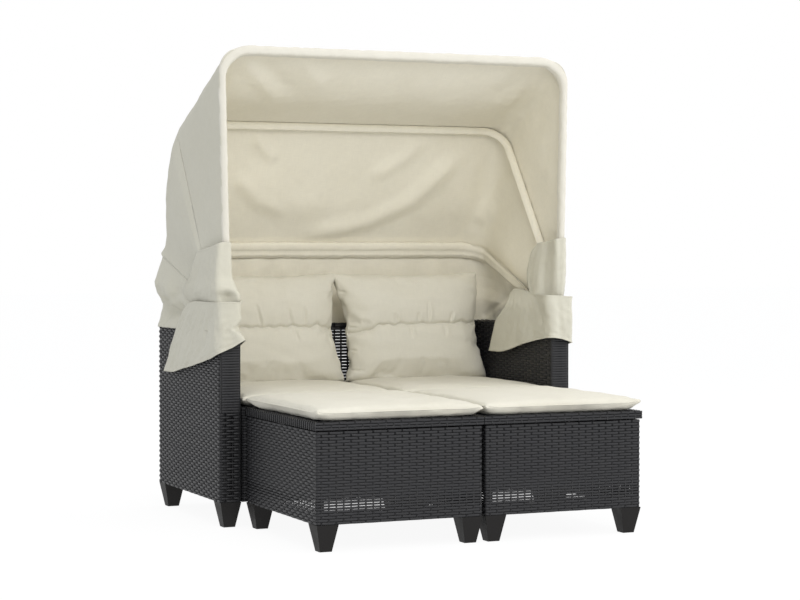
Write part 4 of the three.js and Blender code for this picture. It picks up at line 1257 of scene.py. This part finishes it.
RIGHT_CUFF = placed("---yyyxxx", [
    [(.600, .19, .842), (.604, .10, .852), (.601, .05, .86), (.004, 565.2, 238), (.001, 560, 238.3),
     (.006, 555, 238.9), (.553, 549, 241), (.548, 543, 242), (.543, 538, 243)],
    [(.596, .21, .80), (.604, .12, .80), (.603, .05, .80), (.002, 565.2, 255), (-.002, 560, 255),
     (.006, 555, 255), (.547, 547.5, 256), (.537, 539, 256), (.536, 531.5, 253)],
    [(.594, .27, .755), (.604, .15, .755), (.606, .06, .755), (.001, 565.1, 270), (-.003, 560, 270),
     (.007, 554.8, 270), (.543, 546.5, 271), (.529, 537, 270), (.530, 527.6, 269)],
    [(.596, .32, .715), (.604, .18, .715), (.607, .07, .715), (0, 564.4, 283), (-.004, 559.8, 283),
     (.008, 554.6, 283), (.540, 546, 284), (.524, 537, 283), (.526, 527.4, 281)],
    [(.592, .28, .69), (.600, .18, .69), (.603, .07, .69), (0, 563.2, 294), (-.003, 559, 294),
     (.008, 554.4, 294), (.537, 546, 294), (.522, 537, 293.5), (.525, 529.5, 290.5)],
    [(.588, .26, .665), (.594, .17, .66), (.597, .07, .66), (.004, 562.5, 303), (.001, 559, 303),
     (.010, 554, 303), (.533, 546, 303), (.524, 538, 302), (.525, 531, 300)],
])
RIGHT_FLAP = placed("-----yyyxxxx", [
    [(.600, .29, .66), (.607, .21, .678), (.608, .14, .685), (.607, .07, .688), (.604, .015, .690),
     (-.012, 571.5, 296.6), (-.020, 560, 295.5), (-.010, 545.5, 294.9), (.522, 535, 294), (.526, 524.5, 290),
     (.530, 515, 289), (.532, 510.5, 293)],
    [(.602, .34, .635), (.608, .25, .65), (.610, .16, .66), (.609, .08, .66), (.605, .015, .66),
     (-.012, 571, 306), (-.019, 560, 305.5), (-.014, 547, 306), (.515, 536, 306), (.511, 525, 304),
     (.507, 514, 302.5), (.504, 507, 303)],
    [(.603, .39, .61), (.607, .29, .61), (.610, .19, .61), (.608, .10, .61), (.605, .015, .61),
     (-.012, 570.9, 315), (-.018, 561, 315), (-.014, 549.5, 317), (.516, 537, 317), (.509, 524, 315),
     (.503, 511, 312), (.498, 501.8, 311.8)],
    [(.604, .44, .60), (.606, .34, .585), (.608, .23, .575), (.609, .12, .57), (.605, .015, .575),
     (-.012, 571.1, 326), (-.017, 561.5, 326), (-.015, 550.4, 327), (.516, 537, 328), (.509, 522, 327),
     (.503, 508, 325), (.498, 495.9, 320.2)],
    [(.604, .50, .53), (.606, .38, .53), (.608, .26, .54), (.609, .14, .55), (.602, .015, .56),
     (-.012, 571.2, 335), (-.015, 561.5, 333), (-.013, 550, 333.6), (.516, 537, 335), (.509, 521, 337),
     (.503, 505.5, 338), (.498, 493, 332)],
    [(.604, .564, .446), (.606, .45, .455), (.608, .33, .475), (.609, .19, .50), (.602, .02, .535),
     (-.013, 571.4, 342.6), (-.014, 561, 338.8), (-.013, 549.5, 337.8), (.516, 537, 339.9),
     (.509, 519, 345.3), (.503, 503.5, 351.2), (.498, 488.9, 350.7)],
])


def gathered(grid, seed, height=0.0016):
    """Soft folds that run down a hanging cloth, and finer unevenness, none at its upper edge."""
    u, v = np.meshgrid(*lengths_of(grid))
    free = smooth(np.linspace(0, 1, len(grid)), 0, 0.25)[:, None]
    push = height * waves(np.stack([u, v * 0.3], -1), 0.055, seed)
    push = push + 0.5 * height * waves(np.stack([u, v], -1), 0.045, seed + 1)
    return grid + normals_of(grid) * (push * free)[..., None]


for side, sign, cuff, flap in (("left", -1, LEFT_CUFF, LEFT_FLAP), ("right", 1, RIGHT_CUFF, RIGHT_FLAP)):
    cuff = gathered(patch(cuff, 64, 96), 60 + sign, 0.0012)[:, ::sign]
    flap = gathered(patch(flap, 72, 120), 64 + sign)[:, ::sign]
    piece = cloth(
        f"canopy_skirt_{side}_looks", (cuff, hemmed(cuff, rows=(2, 0), columns=(2, 2))),
        (flap, hemmed(flap, rows=(2, 3), columns=(3, 3))),
    )
    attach(piece, "sofa")
    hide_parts(f"canopy_skirt_{side}")
    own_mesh(piece)


# The curtain behind the backrest, with a wing down to each arm

line, out = REAR_HOOP.line(*CURTAIN_LINE)
away = np.abs(out[:, 0])
behind = np.sqrt(np.clip(1 - away**2, 0, 1))
which = np.sign(out[:, 0])
top = line + square(out, unit(MIDDLE_HOOP.line(*CURTAIN_LINE)[0] - line)) * WRAP
share = np.linspace(0, 1, 48)
grid = top[None] * (1 - share)[:, None, None] + curtain_hem(line, out)[None] * share[:, None, None]
bend = np.interp(
    share, [0, 0.05, 0.21, 0.36, 0.52, 0.68, 0.76, 0.84, 0.95, 1],
    [0, 0.001, 0.011, 0.021, 0.012, -0.010, -0.008, -0.002, 0.004, 0.006],
)
turned_corner = smooth(away, 0.05, 0.6) * smooth(line[:, 1], 0.40, 0.56)
way_out = unit(np.stack([out[:, 0], 0.8 * behind, 0 * away], -1))
strength = bend[:, None] * turned_corner[None] * np.where(which < 0, 1, 0.6)[None]
grid = grid + way_out[None] * strength[..., None]
swell = np.sin(np.pi * share) ** 0.8
beside = away * which * (1 - turned_corner) * smooth(line[:, 1], 0.1, 0.35)
grid[..., 0] += 0.010 * swell[:, None] * beside[None]
hollow = np.exp(-(((grid[..., 1] - 0.44) / 0.085) ** 2) - ((grid[..., 2] - 0.645) / 0.026) ** 2)
grid[..., 0] += 0.032 * hollow * (away * (which < 0))[None]
ripple = 0.0042 * waves(np.stack([grid[..., 0] + grid[..., 1], grid[..., 2] * 0.25], -1), 0.13, 71)
ripple += 0.0012 * waves(grid, 0.05, 72)
still = np.where(which > 0, 1 - 0.75 * turned_corner, 1.0)
grid = grid + normals_of(grid) * (ripple * smooth(share, 0, 0.4)[:, None] * still[None])[..., None]
grid = folded(
    grid, ([(184, 289), (174, 296), (163, 303)], 4, 0.007),
    ([(516, 289), (500, 302.5), (482, 318)], 3.0, -0.007, 0.1),
)
curtain = cloth("canopy_curtain_looks", (grid[:, ::-1], hemmed(grid, rows=(0, 3))))
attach(curtain, "sofa")
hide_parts("canopy_curtain")
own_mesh(curtain)


# Floor, light and camera


def seen_straight(n):
    """1 for rays from the camera, off a gloss or through glass, and 0 for others."""
    path = n.add("ShaderNodeLightPath")
    camera, gloss, glass = (path.outputs[f"Is {ray} Ray"] for ray in ("Camera", "Glossy", "Transmission"))
    return n.math("MAXIMUM", n.math("MAXIMUM", camera, gloss), glass)


floor_mesh = bpy.data.meshes.new("floor")
floor_mesh.from_pydata([(-30, -30, 0), (30, -30, 0), (30, 30, 0), (-30, 30, 0)], [], [(0, 1, 2, 3)])
floor = bpy.data.objects.new("floor", floor_mesh)
bpy.context.scene.collection.objects.link(floor)
pale, n, shader = new_material("floor_pale")
n.tree.nodes.remove(shader)
diffuse = n.add("ShaderNodeBsdfDiffuse", {"Color": (0.82, 0.82, 0.82, 1)})
glow = n.add("ShaderNodeEmission", {"Color": (1, 1, 1, 1), "Strength": 1.035})
share = n.math("MULTIPLY", seen_straight(n), 0.9)
mixed = n.add("ShaderNodeMixShader", {0: share, 1: diffuse.outputs[0], 2: glow.outputs[0]})
n.fill(n.tree.nodes["Material Output"], {"Surface": mixed.outputs[0]})
floor_mesh.materials.append(pale)

world = bpy.data.worlds.new("studio")
bpy.context.scene.world = world
world.use_nodes = True
n = Nodes(world.node_tree)
sky = n.tree.nodes["Background"]
n.fill(sky, {"Color": (0.95, 0.97, 1.0, 1), "Strength": 0.815})
white = n.add("ShaderNodeBackground", {"Color": (1, 1, 1, 1), "Strength": 1.0})
mixed = n.add("ShaderNodeMixShader", {0: seen_straight(n), 1: sky.outputs[0], 2: white.outputs[0]})
n.fill(n.tree.nodes["World Output"], {"Surface": mixed.outputs[0]})


def lamp(name, at, aim, size, watts, colour=(1, 1, 1)):
    light = bpy.data.lights.new(name, "AREA")
    light.shape, light.size, light.energy, light.color = "DISK", size, watts, colour
    obj = bpy.data.objects.new(name, light)
    bpy.context.scene.collection.objects.link(obj)
    obj.location = at
    obj.rotation_euler = (Vector(aim) - Vector(at)).to_track_quat("-Z", "Y").to_euler()
    obj.visible_camera = False


lamp("key", (-0.75, -4.4, 3.1), (0, 0, 0.6), 2.8, 86, (1.0, 0.985, 0.96))
lamp("over", (0.8, 0.2, 4.2), (0, 0, 0.8), 3.2, 30)
lamp("side", (4.2, -1.2, 2.0), (0, 0, 0.8), 2.4, 58)

camera = bpy.data.objects.new("camera", bpy.data.cameras.new("camera"))
bpy.context.scene.collection.objects.link(camera)
camera.location = tuple(CAMERA + OFFSET)
camera.rotation_euler = (math.pi / 2 + PITCH, 0, -TURN)
camera.data.sensor_width = SENSOR_MM
camera.data.lens = FOCAL_PX / WIDE_PX * SENSOR_MM
camera.data.shift_x = (WIDE_PX / 2 - MIDDLE_PX[0]) / WIDE_PX
camera.data.shift_y = (MIDDLE_PX[1] - HIGH_PX / 2) / WIDE_PX
bpy.context.scene.camera = camera
bpy.context.scene.view_settings.view_transform = "Standard"
